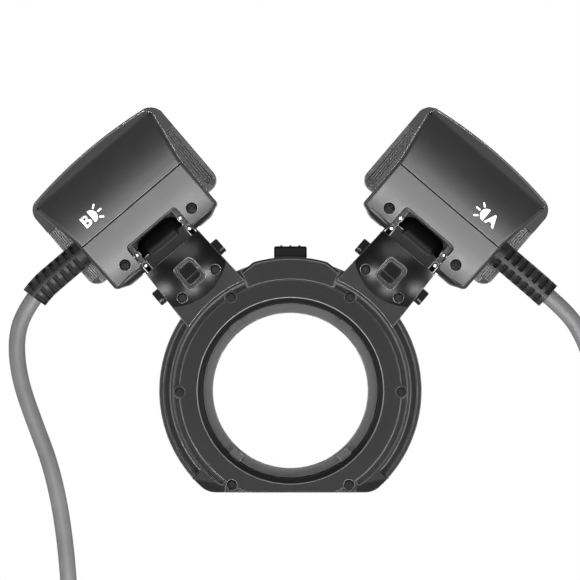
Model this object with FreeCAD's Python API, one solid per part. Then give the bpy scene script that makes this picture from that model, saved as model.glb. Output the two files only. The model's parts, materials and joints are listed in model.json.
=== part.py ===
import FreeCAD, Part

import math
import os

# Macro twin flash: a ring that clips on a lens and carries two tilting flash heads.
# Millimetres. The lens axis is Y, the photographer stands at minus Y, the subject is at plus Y,
# and Z is up. The origin lies on the lens axis, at the shoulder that the lens front seats on.
# A head and its holder are modelled in a frame of their own: X along the hinge, Z away from the
# lens axis. They are then turned about Y to their place on the ring.

# Ring, radii about the lens axis, each wall or channel outside the one before
BORE_R = 33.0
OPENING_LIP = 3.9
OPENING_R = BORE_R - OPENING_LIP
PLATE_WIDTH = 8.6
PLATE_R = BORE_R + PLATE_WIDTH
CHANNEL_WIDTH = 2.2
CHANNEL_R = PLATE_R + CHANNEL_WIDTH
RAIL_WALL = 1.4
RAIL_R = CHANNEL_R + RAIL_WALL
SLOT_WIDTH = 2.3
SLOT_R = RAIL_R + SLOT_WIDTH
RIM_WALL = 1.7
RIM_R = SLOT_R + RIM_WALL
FOOT_WALL = 5.2
FOOT_Z = -BORE_R - FOOT_WALL
FOOT_CORNER_R = 8.0
FACET_IN = 12.6
FACET_TOP_X = RIM_R - FACET_IN
FACET_UP = 5.4
FACET_TOP_Z = FOOT_Z + FACET_UP
FACET_RUN = 12.0
FACET_FALL = 2.6
FACET_DEPTH = 3.0
FACET_SLOPE = 5.6

# Hooks in the bore, and the plate that draws them back
HOOK_ANGLE = 40.0
HOOK_REACH = 3.1
HOOK_TIP_R = BORE_R - HOOK_REACH
HOOK_WIDTH = 5.0
HOOK_REAR_Y = -5.3
HOOK_THICK = 1.8
YOKE_OFFSET = 3.9
YOKE_IN_R = BORE_R + YOKE_OFFSET
YOKE_WIDTH = 1.7
YOKE_OUT_R = YOKE_IN_R + YOKE_WIDTH
YOKE_HALF_ANGLE = 44.0
YOKE_THICK = 1.1
YOKE_STEM_X = 3.0
CAVITY_WALL = 1.6
CAVITY_IN_R = BORE_R + CAVITY_WALL
CAVITY_HALF_ANGLE = 50.0

# Clearances
SLIDE_GAP = 0.3
FIT_GAP = 0.1
SEAT_GAP = 0.05
PIN_GAP = 0.04

# Ring, places along the lens axis, from the hooks to the rear and from the shoulder to the front
HOOK_TAIL_R = YOKE_IN_R - FIT_GAP
CAVITY_OUT_R = YOKE_OUT_R + SLIDE_GAP
PLATE_THICK = 2.0
PLATE_REAR_Y = HOOK_REAR_Y - YOKE_THICK - PLATE_THICK - 2 * SLIDE_GAP
RAIL_STEP = 0.4
RAIL_REAR_Y = PLATE_REAR_Y + RAIL_STEP
RIM_STEP = 0.4
RIM_REAR_Y = RAIL_REAR_Y + RIM_STEP
CHANNEL_DEPTH = 3.0
CHANNEL_FLOOR_Y = PLATE_REAR_Y + CHANNEL_DEPTH
SLOT_REAR_DEPTH = 4.6
SLOT_REAR_FLOOR_Y = RAIL_REAR_Y + SLOT_REAR_DEPTH
SHOULDER_THICK = 1.8
FRONT_SEAT = 0.3
FRONT_SEAT_Y = SHOULDER_THICK + FRONT_SEAT
FRONT_RING_THICK = 2.9
FRONT_Y = FRONT_SEAT_Y + FRONT_RING_THICK
FRONT_STEP = 0.4
RIM_FRONT_Y = FRONT_Y - FRONT_STEP
SLOT_FRONT_DEPTH = 3.1
SLOT_FRONT_FLOOR_Y = RIM_FRONT_Y - SLOT_FRONT_DEPTH
MOUTH_FLARE = 6.9
MOUTH_R = OPENING_R + MOUTH_FLARE
FRONT_RING_OVERLAP = 2.1
FRONT_RING_R = PLATE_R + FRONT_RING_OVERLAP
PLATE_BEVEL = 1.9
CHANNEL_END = 144.0

# Ring, hump and release button at the top
HUMP_RISE = 1.0
HUMP_R = RIM_R + HUMP_RISE
HUMP_HALF_ANGLE = 16.0
HUMP_FOOT_DROP = 0.9
HUMP_FOOT_R = RIM_R - HUMP_FOOT_DROP
HUMP_FOOT_ANGLE = 22.3
HUMP_PROUD = 0.4
HUMP_REAR_Y = PLATE_REAR_Y - HUMP_PROUD
HUMP_BEVEL = 0.8
RELEASE_HALF_X = 6.15
RELEASE_HEIGHT = 4.0
RELEASE_TOP_Z = HUMP_R + RELEASE_HEIGHT
RELEASE_ROOT = 3.4
RELEASE_BASE_Z = HUMP_R - RELEASE_ROOT
RELEASE_WALL = 3.4
RELEASE_REAR_Y = HUMP_REAR_Y + RELEASE_WALL
RELEASE_DEPTH = 8.0
RELEASE_FRONT_Y = RELEASE_REAR_Y + RELEASE_DEPTH
RELEASE_TRAVEL = 2.0
RELEASE_RIDGE_R = 0.45
RELEASE_RIDGES = 3
RELEASE_RIDGE_PITCH = 3.4
FLANGE_OUT = 1.1
FLANGE_THICK = 1.0
RELEASE_SPRING_SHUT = 1.2

# Screws, as head radius, shank radius and head height
PLATE_SCREW_INSET = 0.1
PLATE_SCREW_R = PLATE_R - PLATE_SCREW_INSET
PLATE_SCREW_ANGLES = (32.5, 90.7, 148.1)
PLATE_SCREW_HEAD_R = 1.75
PLATE_SCREW_SHANK_R = 0.9
PLATE_SCREW_HEAD = 1.0
PLATE_SCREW_SINK = 0.25
PLATE_SCREW_COVER = 1.2
PLATE_SCREW_TIP_Y = FRONT_Y - PLATE_SCREW_COVER
BOSS_WALL = 0.6

# Where the heads stand and how far they slide
HEAD_ANGLE = 40.5
ORBIT_TRAVEL = 80.0
LUG_HALF_ANGLE = 10.8
SLOT_PLAY = 0.5
RACK_STEP = 15.0

# Holder, its foot on the ring's channel and its hinge above its top
FOOT_GAP = 1.0
HOLDER_FOOT_R = CHANNEL_R + FOOT_GAP
HOLDER_HEIGHT = 23.5
HOLDER_TOP_R = HOLDER_FOOT_R + HOLDER_HEIGHT
FRAME_STEP = 1.0
FRAME_TOP_R = HOLDER_TOP_R - FRAME_STEP
NECK_DEPTH = 2.4
HOLDER_HALF_LOW = 13.75
HOLDER_HALF_TOP = 12.75
HINGE_RISE = 5.2
HINGE_R = HOLDER_TOP_R + HINGE_RISE
HINGE_Y = -5.0
SPLIT_STEP = 1.0
HOLDER_SPLIT_Y = HINGE_Y + SPLIT_STEP
HOLDER_FRONT = 11.5
HOLDER_FRONT_Y = HOLDER_SPLIT_Y + HOLDER_FRONT
FLAP_PROUD = 1.5
FLAP_Y = PLATE_REAR_Y - FLAP_PROUD
DOME_PROUD = 3.5
DOME_TOP_Y = FLAP_Y - DOME_PROUD
DOME_R = 61.8
FRAME_CHAMFER_Y = 5.1
LUG_DEPTH_GAP = 0.4
HOLDER_SCREW_X = 8.1
HOLDER_SCREW_RISE = 8.0
HOLDER_SCREW_R = HOLDER_FOOT_R + HOLDER_SCREW_RISE
HOLDER_SCREW_HEAD_R = 1.7
HOLDER_SCREW_SHANK_R = 0.8
HOLDER_SCREW_SINK = 3.6
HOLDER_SCREW_FLOOR_Y = DOME_TOP_Y + HOLDER_SCREW_SINK
HOLDER_SCREW_HEAD = 0.9
HOLDER_SCREW_GRIP = 6.2
HOLDER_SCREW_TIP_Y = HOLDER_SPLIT_Y + HOLDER_SCREW_GRIP

# Hinge
BARREL_R = 6.3
BARREL_HALF = 9.5
BARREL_ROUND = 4.0
EAR_GAP = 0.2
EAR_THICK = 2.1
EAR_HALF_IN = BARREL_HALF + EAR_GAP
EAR_HALF_OUT = EAR_HALF_IN + EAR_THICK
EAR_R = 5.4
PIN_R = 1.5
PIN_HEAD_R = 2.4
PIN_HEAD = 0.8
CHEEK_IN = EAR_HALF_OUT + SLIDE_GAP
CHEEK_DROP = 4.0
CHEEK_TOP_R = HINGE_R - CHEEK_DROP
CHEEK_HALF_Y = 4.5
RIVET_OFFSET = 2.6
RIVET_R = 0.65
RIVET_PROUD = 0.5

# Side buttons of the holder
SIDE_RISE = 5.7
SIDE_R = HOLDER_SCREW_R + SIDE_RISE
SIDE_FORWARD = 1.0
SIDE_Y = HINGE_Y + SIDE_FORWARD
SIDE_Z = 6.0
SIDE_YW = 7.0
SIDE_PROUD = 2.2
SIDE_FLANGE_OUT = 0.7
SIDE_FLANGE = 1.2
SIDE_WALL = 2.75
SIDE_WALL_IN = HOLDER_HALF_LOW - SIDE_WALL
SIDE_CAVITY = 5.0
SIDE_CAVITY_IN = SIDE_WALL_IN - SIDE_CAVITY
SPRING_R = 1.9
SPRING_WALL = 0.6

# Latch button in the middle of the holder
LATCH_DROP = 0.6
LATCH_R = SIDE_R - LATCH_DROP
LATCH_X = 6.3
LATCH_Z = 7.4
LATCH_ROUND = 1.4
LATCH_RIM_X = 1.15
LATCH_RIM_Z = 1.3
LATCH_RECESS_SINK = 2.1
LATCH_RECESS_Y = DOME_TOP_Y + LATCH_RECESS_SINK
LATCH_RECESS_ROUND = 2.0
LATCH_PROUD = 1.0
LATCH_TOP_Y = LATCH_RECESS_Y - LATCH_PROUD
LATCH_STEP = 1.5
LATCH_STEP_SHARE = 0.36
LATCH_WALL = 1.9
LATCH_WALL_Y = LATCH_RECESS_Y + LATCH_WALL
LATCH_FLANGE_Y = LATCH_WALL_Y + SLIDE_GAP
LATCH_FLANGE = 0.9
LATCH_FLANGE_OUT = 0.7
SPRING_SEAT = 1.2

# Index plunger and the notched rack under it
RACK_INSET = 0.95
RACK_IN_R = RIM_R - RACK_INSET
RACK_THICK = 0.5
RACK_OUT_R = RACK_IN_R + RACK_THICK
RACK_HALF_Y = 1.2
RACK_Y = -1.0
RACK_NOTCH_R = 0.5
PLUNGER_R = 1.2
PLUNGER_TIP_GAP = 0.2
PLUNGER_TIP_R = RACK_OUT_R + PLUNGER_TIP_GAP
PLUNGER_LENGTH = 4.8
PLUNGER_TOP_R = RIM_R + PLUNGER_LENGTH

# Head housings, with heights above the hinge line
CASE_HALF_LOW = 25.0
CASE_FLARE = 3.4
CASE_HALF_TOP = CASE_HALF_LOW + CASE_FLARE
CASE_DROP = 4.5
CASE_LOW = -CASE_DROP
CASE_HEIGHT = 48.4
CASE_TOP = CASE_LOW + CASE_HEIGHT
CASE_CROWN = 2.2
CASE_SHOULDER = CASE_TOP - CASE_CROWN
CASE_SHOULDER_IN = 1.8
CASE_SIDE_LOW = 24.0
CASE_FLARE_LOW = CASE_LOW + CASE_SIDE_LOW
CASE_SIDE_TOP = 4.9
CASE_FLARE_TOP = CASE_TOP - CASE_SIDE_TOP
CASE_BEVEL_X = 5.0
CASE_BEVEL_Z = 1.6
CASE_CORNER_R = 1.6
CASE_REAR_LOW_Y = -20.0
CASE_BULGE = 6.3
CASE_REAR_MID_Y = CASE_REAR_LOW_Y - CASE_BULGE
CASE_BULGE_UP = 21.0
CASE_REAR_MID = CASE_LOW + CASE_BULGE_UP
CASE_BULGE_BACK = 5.1
CASE_CREASE_Y = CASE_REAR_MID_Y + CASE_BULGE_BACK
CASE_CREASE_DROP = 4.1
CASE_CREASE = CASE_TOP - CASE_CREASE_DROP
CASE_TOP_BACK = 6.7
CASE_TOP_REAR_Y = CASE_CREASE_Y + CASE_TOP_BACK
CASE_FRONT = 13.0
CASE_FRONT_Y = HINGE_Y + CASE_FRONT
CASE_WALL = 1.6
CASE_EDGE_ROUND = 1.6
CASE_BOTTOM_ROUND = 6.5
CASE_ROUND_SINK = 0.12
SEAM_UP = 22.1
SEAM = CASE_LOW + SEAM_UP
SEAM_GAP = 0.25
POCKET_TOP = 6.7
NOTCH_HALF = EAR_HALF_OUT + FIT_GAP
NOTCH_TOP = POCKET_TOP + SLIDE_GAP
NOTCH_ROUND = 1.5
POCKET_HALF = 14.0
POCKET_WALL = 0.8
WIRE_HOLE_HALF = 14.0
WIRE_HOLE_LOW = 10.5
WIRE_HOLE_HEIGHT = 24.0
WIRE_HOLE_TOP = WIRE_HOLE_LOW + WIRE_HOLE_HEIGHT

# Saddle under the case, with the ears
SADDLE_HALF = 18.4
SADDLE_THICK = 1.4
SADDLE_REAR_GAP = 4.0
SADDLE_REAR_Y = CASE_REAR_LOW_Y + SADDLE_REAR_GAP
SADDLE_FRONT_GAP = 2.2
SADDLE_FRONT_Y = CASE_FRONT_Y - SADDLE_FRONT_GAP
CASE_SCREW_X = 16.3
CASE_SCREW_UP = 2.3
CASE_SCREW_HEAD_R = 1.9
CASE_SCREW_SHANK_R = 0.7
CASE_SCREW_HEAD = 1.1
CASE_SCREW_SINK = 1.1
POST_R = 1.4
POST_WALL = 0.9
POST_FLOOR = 0.9
POST_REAR_GAP = 1.6
POST_REAR_Y = CASE_REAR_LOW_Y + POST_REAR_GAP
POST_LENGTH = 10.4
POST_FRONT_Y = POST_REAR_Y + POST_LENGTH

# Front case and what it holds
FRONT_OVERHANG = 2.9
FRONT_HALF = CASE_HALF_TOP + FRONT_OVERHANG
FRONT_DROP = 8.0
FRONT_LOW = CASE_LOW + FRONT_DROP
FRONT_RISE = 1.2
FRONT_TOP = CASE_TOP + FRONT_RISE
FRONT_CROWN = 2.3
FRONT_SHOULDER = FRONT_TOP - FRONT_CROWN
FRONT_CORNER_R = 4.5
FRONT_REAR_Y = CASE_FRONT_Y + FIT_GAP
FRONT_DEPTH = 22.9
FRONT_END_Y = FRONT_REAR_Y + FRONT_DEPTH
FRONT_WALL = 1.8
FRONT_SIDE_CHAMFER_X = 3.6
FRONT_SIDE_CHAMFER_Y = 7.0
GRIP_UP = 2.5
GRIP_LOW = FRONT_LOW + GRIP_UP
GRIP_HEIGHT = 25.0
GRIP_TOP = GRIP_LOW + GRIP_HEIGHT
GRIP_DEPTH = 4.7
GRIP_IN = FRONT_HALF - GRIP_DEPTH
GRIP_STEP_X = 0.9
GRIP_STEP_Y = 3.4
GRIP_STEPS = 4
WINDOW_BORDER = 4.0
WINDOW_HALF = FRONT_HALF - WINDOW_BORDER
WINDOW_UP = 10.0
WINDOW_LOW = FRONT_LOW + WINDOW_UP
WINDOW_HEIGHT = 26.4
WINDOW_TOP = WINDOW_LOW + WINDOW_HEIGHT
WINDOW_THICK = 2.2
WINDOW_RECESS = 0.4
WINDOW_CORNER_R = 2.5
LEDGE = 1.5
LEDGE_THICK = 1.2
REFLECTOR_IN = 3.7
REFLECTOR_HALF = WINDOW_HALF - REFLECTOR_IN
REFLECTOR_DEPTH = 14.0
REFLECTOR_WALL = 0.8
REFLECTOR_BORDER = 2.2
REFLECTOR_MOUTH = WINDOW_HEIGHT / 2 - REFLECTOR_BORDER
REFLECTOR_RIM = 1.6
TUBE_R = 2.0
TUBE_FROM_APEX = 4.2
TUBE_PAST_END = 1.0
LAMP_IN = 8.3
LAMP_X = WINDOW_HALF - LAMP_IN
LAMP_DROP = 4.8
LAMP_UP = WINDOW_LOW - LAMP_DROP
LAMP_LENS_R = 2.6
LAMP_DEPTH = 7.0

# Electronics
BOARD_HALF = 20.5
BOARD_OVER_SEAM = 3.4
BOARD_LOW = SEAM + BOARD_OVER_SEAM
BOARD_HEIGHT = 16.0
BOARD_TOP = BOARD_LOW + BOARD_HEIGHT
BOARD_STANDOFF = 6.0
BOARD_REAR_Y = CASE_REAR_LOW_Y + BOARD_STANDOFF
BOARD_THICK = 1.6
BOARD_POST_R = 1.8
BOARD_POST_X = 17.5
BOARD_POST_IN = 2.5
COIL_R = 4.2
COIL_LENGTH = 16.0
COIL_BOBBIN_R = 5.0
COIL_FLANGE = 1.2

# Strain relief
RELIEF_UP = 16.5
RELIEF_FORWARD = 1.0
RELIEF_Y = HINGE_Y + RELIEF_FORWARD
RELIEF_R = 5.15
RELIEF_STRAIGHT = 16.5
RELIEF_CURVED = 9.0
RELIEF_FLANGE_R = 6.2
RELIEF_FLANGE = 0.8
RELIEF_ROOT_GAP = 0.1
RELIEF_SLOTS = 7
RELIEF_PITCH = 3.3
RELIEF_SLOT = 1.7
RELIEF_SLOT_DEPTH = 1.9
RELIEF_SLOT_WIDE = 6.0
RELIEF_FIRST_SLOT = 2.0
RELIEF_ROWS = (35.0, 125.0, 215.0, 305.0)
RELIEF_BEND = {"left": 14.0, "right": 2.0}

# Cords and plugs
CORD_D = 6.3
CORD_CORNER_SHARE = 0.45
PLUG_BOOT = 13.0
PLUG_BODY_R = 6.6
PLUG_BODY = 17.0
PLUG_COLLAR_R = 7.4
PLUG_COLLAR = 9.0
PLUG_NOSE_R = 5.2
PLUG_NOSE = 8.0
PLUG_NOSE_BORE_R = 4.2
PLUG_NOSE_BORE = 6.5
PLUG_PIN_R = 0.45
PLUG_PINS = 5
PLUG_PIN_CIRCLE_R = 2.5

# Points of each cord's route after the end of its strain relief, chosen by hand
CORD_ROUTES = {
    "left": [
        (-100.0, -4.0, 29.3),
        (-102.7, -4.2, 21.0),
        (-102.6, -4.8, 11.0),
        (-100.4, -5.6, 0.4),
        (-95.6, -6.8, -12.8),
        (-89.4, -8.6, -29.0),
        (-84.8, -11.0, -51.0),
        (-82.2, -13.6, -80.0),
        (-81.6, -15.8, -116.0),
        (-82.6, -17.0, -158.0),
        (-84.2, -17.4, -200.0),
        (-85.4, -17.0, -241.0),
        (-85.4, -17.0, -280.0),
    ],
    "right": [
        (103.7, -4.0, 29.6),
        (109.6, -3.4, 21.0),
        (113.8, -2.0, 9.6),
        (116.4, 0.4, -6.4),
        (117.0, 3.4, -26.0),
        (116.2, 6.4, -52.0),
        (115.0, 8.8, -84.0),
        (114.4, 10.2, -122.0),
        (114.8, 10.8, -163.0),
        (115.8, 10.8, -204.0),
        (116.6, 10.4, -244.0),
        (116.6, 10.4, -282.0),
    ],
}

SIDES = {"left": -1, "right": 1}


def point(x, y, z):
    return FreeCAD.Vector(x, y, z)


ORIGIN = point(0, 0, 0)
X_AXIS = point(1, 0, 0)
Y_AXIS = point(0, 1, 0)
Z_AXIS = point(0, 0, 1)


def block(x_low, x_high, y_low, y_high, z_low, z_high):
    return Part.makeBox(x_high - x_low, y_high - y_low, z_high - z_low, point(x_low, y_low, z_low))


def rod_y(radius, y_low, y_high, x=0.0, z=0.0):
    return Part.makeCylinder(radius, y_high - y_low, point(x, y_low, z), Y_AXIS)


def rod_x(radius, x_low, x_high, y, z):
    return Part.makeCylinder(radius, x_high - x_low, point(x_low, y, z), X_AXIS)


def rod_z(radius, z_low, z_high, x, y):
    return Part.makeCylinder(radius, z_high - z_low, point(x, y, z_low), Z_AXIS)


def joined(shapes):
    return shapes[0].multiFuse(shapes[1:]).removeSplitter()


def turned(shape, degrees):
    copy = shape.copy()
    copy.rotate(ORIGIN, Y_AXIS, degrees)
    return copy


def at_angle(radius, degrees, y=0.0):
    """A point round the lens axis, with the angle counted from the top towards plus X."""
    angle = math.radians(degrees)
    return point(radius * math.sin(angle), y, radius * math.cos(angle))


def sector(inner, outer, start, end, y_low, y_high):
    """A stretch of a flat ring about the lens axis, between two angles from the top."""
    middle = (start + end) / 2
    corners = [at_angle(outer, start, y_low), at_angle(outer, middle, y_low), at_angle(outer, end, y_low)]
    inside = [at_angle(inner, end, y_low), at_angle(inner, middle, y_low), at_angle(inner, start, y_low)]
    edges = [
        Part.Arc(*corners).toShape(),
        Part.LineSegment(corners[2], inside[0]).toShape(),
        Part.Arc(*inside).toShape(),
        Part.LineSegment(inside[2], corners[0]).toShape(),
    ]
    return Part.Face(Part.Wire(edges)).extrude(point(0, y_high - y_low, 0))


def revolved(outline, axis_point=ORIGIN, axis=Y_AXIS):
    """A solid from a closed outline of (radius, height) about Y, or about another axis."""
    points = [point(radius, height, 0) for radius, height in outline]
    face = Part.Face(Part.makePolygon(points + points[:1]))
    return face.revolve(axis_point, axis, 360)


def plate(outline, y_low, y_high):
    """A prism along Y from a closed outline of (x, z) points."""
    points = [point(x, y_low, z) for x, z in outline]
    return Part.Face(Part.makePolygon(points + points[:1])).extrude(point(0, y_high - y_low, 0))


def rounded_plate(half_x, z_low, z_high, corner, y_low, y_high, x=0.0):
    """A prism along Y with four rounded corners."""
    shape = block(x - half_x, x + half_x, y_low, y_high, z_low, z_high)
    edges = [e for e in shape.Edges if abs(e.tangentAt(e.FirstParameter).y) > 0.9]
    return shape.makeFillet(corner, edges)


# Ring body and its fixed pieces


def ring_outline(y_low, y_high):
    disc = rod_y(RIM_R, y_low, y_high)
    foot = block(-RIM_R, RIM_R, y_low, y_high, FOOT_Z, RIM_R)
    shape = disc.common(foot)
    edges = [e for e in shape.Edges if e.Length < y_high - y_low + 1 and e.BoundBox.ZMax < FOOT_Z + 1]
    return shape.makeFillet(FOOT_CORNER_R, edges)


def hump():
    """The raised block at the top, between the two holders."""
    end = at_angle(HUMP_FOOT_R, HUMP_FOOT_ANGLE)
    top = at_angle(HUMP_R, HUMP_HALF_ANGLE)
    base = at_angle(PLATE_R + FIT_GAP, HUMP_FOOT_ANGLE)
    crown = point(0, 0, HUMP_R)
    mirror_x = [point(-p.x, 0, p.z) for p in (base, end, top)]
    floor = point(0, 0, PLATE_R + FIT_GAP)
    edges = [
        Part.LineSegment(base, end).toShape(),
        Part.LineSegment(end, top).toShape(),
        Part.Arc(top, crown, mirror_x[2]).toShape(),
        Part.LineSegment(mirror_x[2], mirror_x[1]).toShape(),
        Part.LineSegment(mirror_x[1], mirror_x[0]).toShape(),
        Part.Arc(mirror_x[0], floor, base).toShape(),
    ]
    face = Part.Face(Part.Wire(edges))
    face.translate(point(0, HUMP_REAR_Y, 0))
    shape = face.extrude(point(0, RIM_FRONT_Y - HUMP_REAR_Y, 0))
    rear_edges = [
        e
        for e in shape.Edges
        if e.BoundBox.YMax < HUMP_REAR_Y + 0.01 and e.CenterOfMass.z > HUMP_FOOT_R * 0.9
    ]
    return shape.makeChamfer(HUMP_BEVEL, rear_edges)


def plate_screw_places():
    return [at_angle(PLATE_SCREW_R, side * a) for a in PLATE_SCREW_ANGLES for side in (-1, 1)]


def screw_seat_y():
    return PLATE_REAR_Y + PLATE_SCREW_SINK + PLATE_SCREW_HEAD


def slot_angles():
    start = HEAD_ANGLE - LUG_HALF_ANGLE - SLOT_PLAY
    return start, HEAD_ANGLE + ORBIT_TRAVEL + LUG_HALF_ANGLE + SLOT_PLAY


def foot_facet(side):
    """The sloped corner beside the foot, cut from the rear face."""
    rear = RAIL_REAR_Y - 1
    above = FACET_TOP_Z + FACET_SLOPE / FACET_DEPTH
    below = FACET_TOP_Z - FACET_SLOPE
    section = [
        point(side * FACET_TOP_X, rear, above),
        point(side * FACET_TOP_X, RAIL_REAR_Y + FACET_DEPTH, below),
        point(side * FACET_TOP_X, rear, below),
    ]
    face = Part.Face(Part.makePolygon(section + section[:1]))
    return face.extrude(point(-side * FACET_RUN, 0, -FACET_FALL))


def hook_box(side, sign, gap, inner, outer):
    """A hook's straight body, or with a gap its slot, at the top (sign 1) or the foot (sign -1)."""
    half = HOOK_WIDTH / 2 + gap
    shape = block(-half, half, HOOK_REAR_Y - gap, HOOK_REAR_Y + HOOK_THICK + gap, inner, outer)
    angle = HOOK_ANGLE if sign > 0 else 180 - HOOK_ANGLE
    return turned(shape, side * angle)


def ring_body():
    shape = joined([ring_outline(RAIL_REAR_Y, RIM_FRONT_Y), hump()])
    slot_start, slot_end = slot_angles()
    cuts = [
        rod_y(BORE_R, HUMP_REAR_Y - 1, FRONT_Y + 1),
        rod_y(FRONT_RING_R + FIT_GAP, FRONT_SEAT_Y, FRONT_Y + 1),
        rod_y(PLATE_R + FIT_GAP, HUMP_REAR_Y - 1, PLATE_REAR_Y + PLATE_THICK),
        sector(CAVITY_IN_R, CAVITY_OUT_R, -CAVITY_HALF_ANGLE, CAVITY_HALF_ANGLE,
               PLATE_REAR_Y, HOOK_REAR_Y + HOOK_THICK + FIT_GAP),
    ]
    for side in (-1, 1):
        ends = sorted((side * slot_start, side * slot_end))
        top = sorted((side * (HUMP_FOOT_ANGLE + 0.4), side * CHANNEL_END))
        rack = sorted((side * (HEAD_ANGLE - 6), side * (HEAD_ANGLE + ORBIT_TRAVEL + 6)))
        half = RACK_HALF_Y + SLIDE_GAP
        cuts += [
            sector(PLATE_R, CHANNEL_R, *top, HUMP_REAR_Y - 1, CHANNEL_FLOOR_Y),
            sector(RAIL_R, SLOT_R, *ends, HUMP_REAR_Y - 1, SLOT_REAR_FLOOR_Y),
            sector(RAIL_R, SLOT_R, *ends, SLOT_FRONT_FLOOR_Y, FRONT_Y + 1),
            sector(SLOT_R - FIT_GAP, RIM_R + 1, *ends, HUMP_REAR_Y - 1, RIM_REAR_Y),
            sector(RACK_IN_R - SEAT_GAP, RIM_R + 1, *rack, RACK_Y - half, RACK_Y + half),
            foot_facet(side),
            hook_box(side, 1, FIT_GAP, BORE_R - 1, CAVITY_IN_R + 1),
            hook_box(side, -1, 0, BORE_R - 1, HOOK_TAIL_R - 1),
        ]
    cuts += release_pocket()
    shape = shape.cut(joined(cuts[:1]).multiFuse(cuts[1:]))
    bosses = [
        rod_y(PLATE_SCREW_HEAD_R + BOSS_WALL, CHANNEL_FLOOR_Y - 0.01, CHANNEL_FLOOR_Y + 2, p.x, p.z)
        for p in plate_screw_places()
    ]
    tall = [
        rod_y(PLATE_SCREW_HEAD_R + BOSS_WALL, screw_seat_y(), CHANNEL_FLOOR_Y + 1, p.x, p.z).cut(
            rod_y(PLATE_R + FIT_GAP, HUMP_REAR_Y, PLATE_REAR_Y + PLATE_THICK)
        )
        for p in plate_screw_places()
    ]
    shape = shape.multiFuse(bosses + tall).removeSplitter()
    holes = [
        rod_y(PLATE_SCREW_SHANK_R + SEAT_GAP, HUMP_REAR_Y, FRONT_Y, p.x, p.z) for p in plate_screw_places()
    ]
    heads = [
        rod_y(PLATE_SCREW_HEAD_R + FIT_GAP, HUMP_REAR_Y - 1, screw_seat_y(), p.x, p.z)
        for p in plate_screw_places()
    ]
    return shape.cut(holes[0].multiFuse(holes[1:] + heads))


def pocket_floor_z():
    return RELEASE_BASE_Z - RELEASE_TRAVEL - RELEASE_SPRING_SHUT


def release_pocket():
    """The button's pocket in the hump, and the slot for the yoke's stem."""
    reach = RELEASE_HALF_X + FLANGE_OUT + SLIDE_GAP
    roof = RELEASE_BASE_Z + FLANGE_THICK + FIT_GAP
    rear = RELEASE_REAR_Y - SLIDE_GAP
    front = RELEASE_FRONT_Y + SLIDE_GAP
    stem = YOKE_STEM_X + SLIDE_GAP
    yoke_rear = yoke_rear_y()
    return [
        block(-reach, reach, rear, front, pocket_floor_z(), roof),
        block(-RELEASE_HALF_X - SLIDE_GAP, RELEASE_HALF_X + SLIDE_GAP, rear, front, roof - 1, HUMP_R + 1),
        block(-stem, stem, yoke_rear - SLIDE_GAP, yoke_rear + YOKE_THICK + SLIDE_GAP,
              CAVITY_OUT_R - 1, RELEASE_BASE_Z),
    ]


def yoke_rear_y():
    return PLATE_REAR_Y + PLATE_THICK + SLIDE_GAP


def rear_plate():
    disc = rod_y(PLATE_R, PLATE_REAR_Y, PLATE_REAR_Y + PLATE_THICK)
    foot = block(-RIM_R, RIM_R, PLATE_REAR_Y, PLATE_REAR_Y + PLATE_THICK, FOOT_Z, RIM_R)
    bevel = revolved([
        (0, PLATE_REAR_Y - 1),
        (BORE_R + PLATE_BEVEL + 1, PLATE_REAR_Y - 1),
        (BORE_R, PLATE_REAR_Y + PLATE_BEVEL),
        (BORE_R, PLATE_REAR_Y + PLATE_THICK + 1),
        (0, PLATE_REAR_Y + PLATE_THICK + 1),
    ])
    shape = disc.common(foot).cut(bevel)
    for p in plate_screw_places():
        head = rod_y(PLATE_SCREW_HEAD_R + FIT_GAP, PLATE_REAR_Y - 1, screw_seat_y(), p.x, p.z)
        shank = rod_y(PLATE_SCREW_SHANK_R + SEAT_GAP, PLATE_REAR_Y - 1, 0, p.x, p.z)
        shape = shape.cut(head.fuse(shank))
    return shape


def front_ring():
    seat = FRONT_SEAT_Y
    shape = revolved([
        (OPENING_R, 0),
        (OPENING_R, SHOULDER_THICK),
        (MOUTH_R, FRONT_Y),
        (FRONT_RING_R, FRONT_Y),
        (FRONT_RING_R, seat),
        (BORE_R - FIT_GAP, seat),
        (BORE_R - FIT_GAP, 0),
    ])
    foot = block(-RIM_R, RIM_R, -1, FRONT_Y + 1, FOOT_Z + FIT_GAP, RIM_R)
    shape = shape.common(foot)
    for p in plate_screw_places():
        shape = shape.cut(rod_y(PLATE_SCREW_SHANK_R + SEAT_GAP, 0, PLATE_SCREW_TIP_Y + SEAT_GAP, p.x, p.z))
    return shape


def screw(head_r, shank_r, head, seat_y, tip_y, x, z, drive_r):
    """One screw along Y with a cross drive in its head."""
    body = rod_y(head_r, seat_y - head, seat_y, x, z).fuse(rod_y(shank_r, seat_y, tip_y, x, z))
    half = drive_r * 0.3
    bars = [
        block(x - drive_r, x + drive_r, seat_y - head - 1, seat_y - head * 0.5, z - half, z + half),
        block(x - half, x + half, seat_y - head - 1, seat_y - head * 0.5, z - drive_r, z + drive_r),
    ]
    return body.cut(bars[0].fuse(bars[1]))


def plate_screws():
    return Part.makeCompound([
        screw(PLATE_SCREW_HEAD_R, PLATE_SCREW_SHANK_R, PLATE_SCREW_HEAD, screw_seat_y(),
              PLATE_SCREW_TIP_Y, p.x, p.z, PLATE_SCREW_HEAD_R * 0.6)
        for p in plate_screw_places()
    ])


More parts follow.
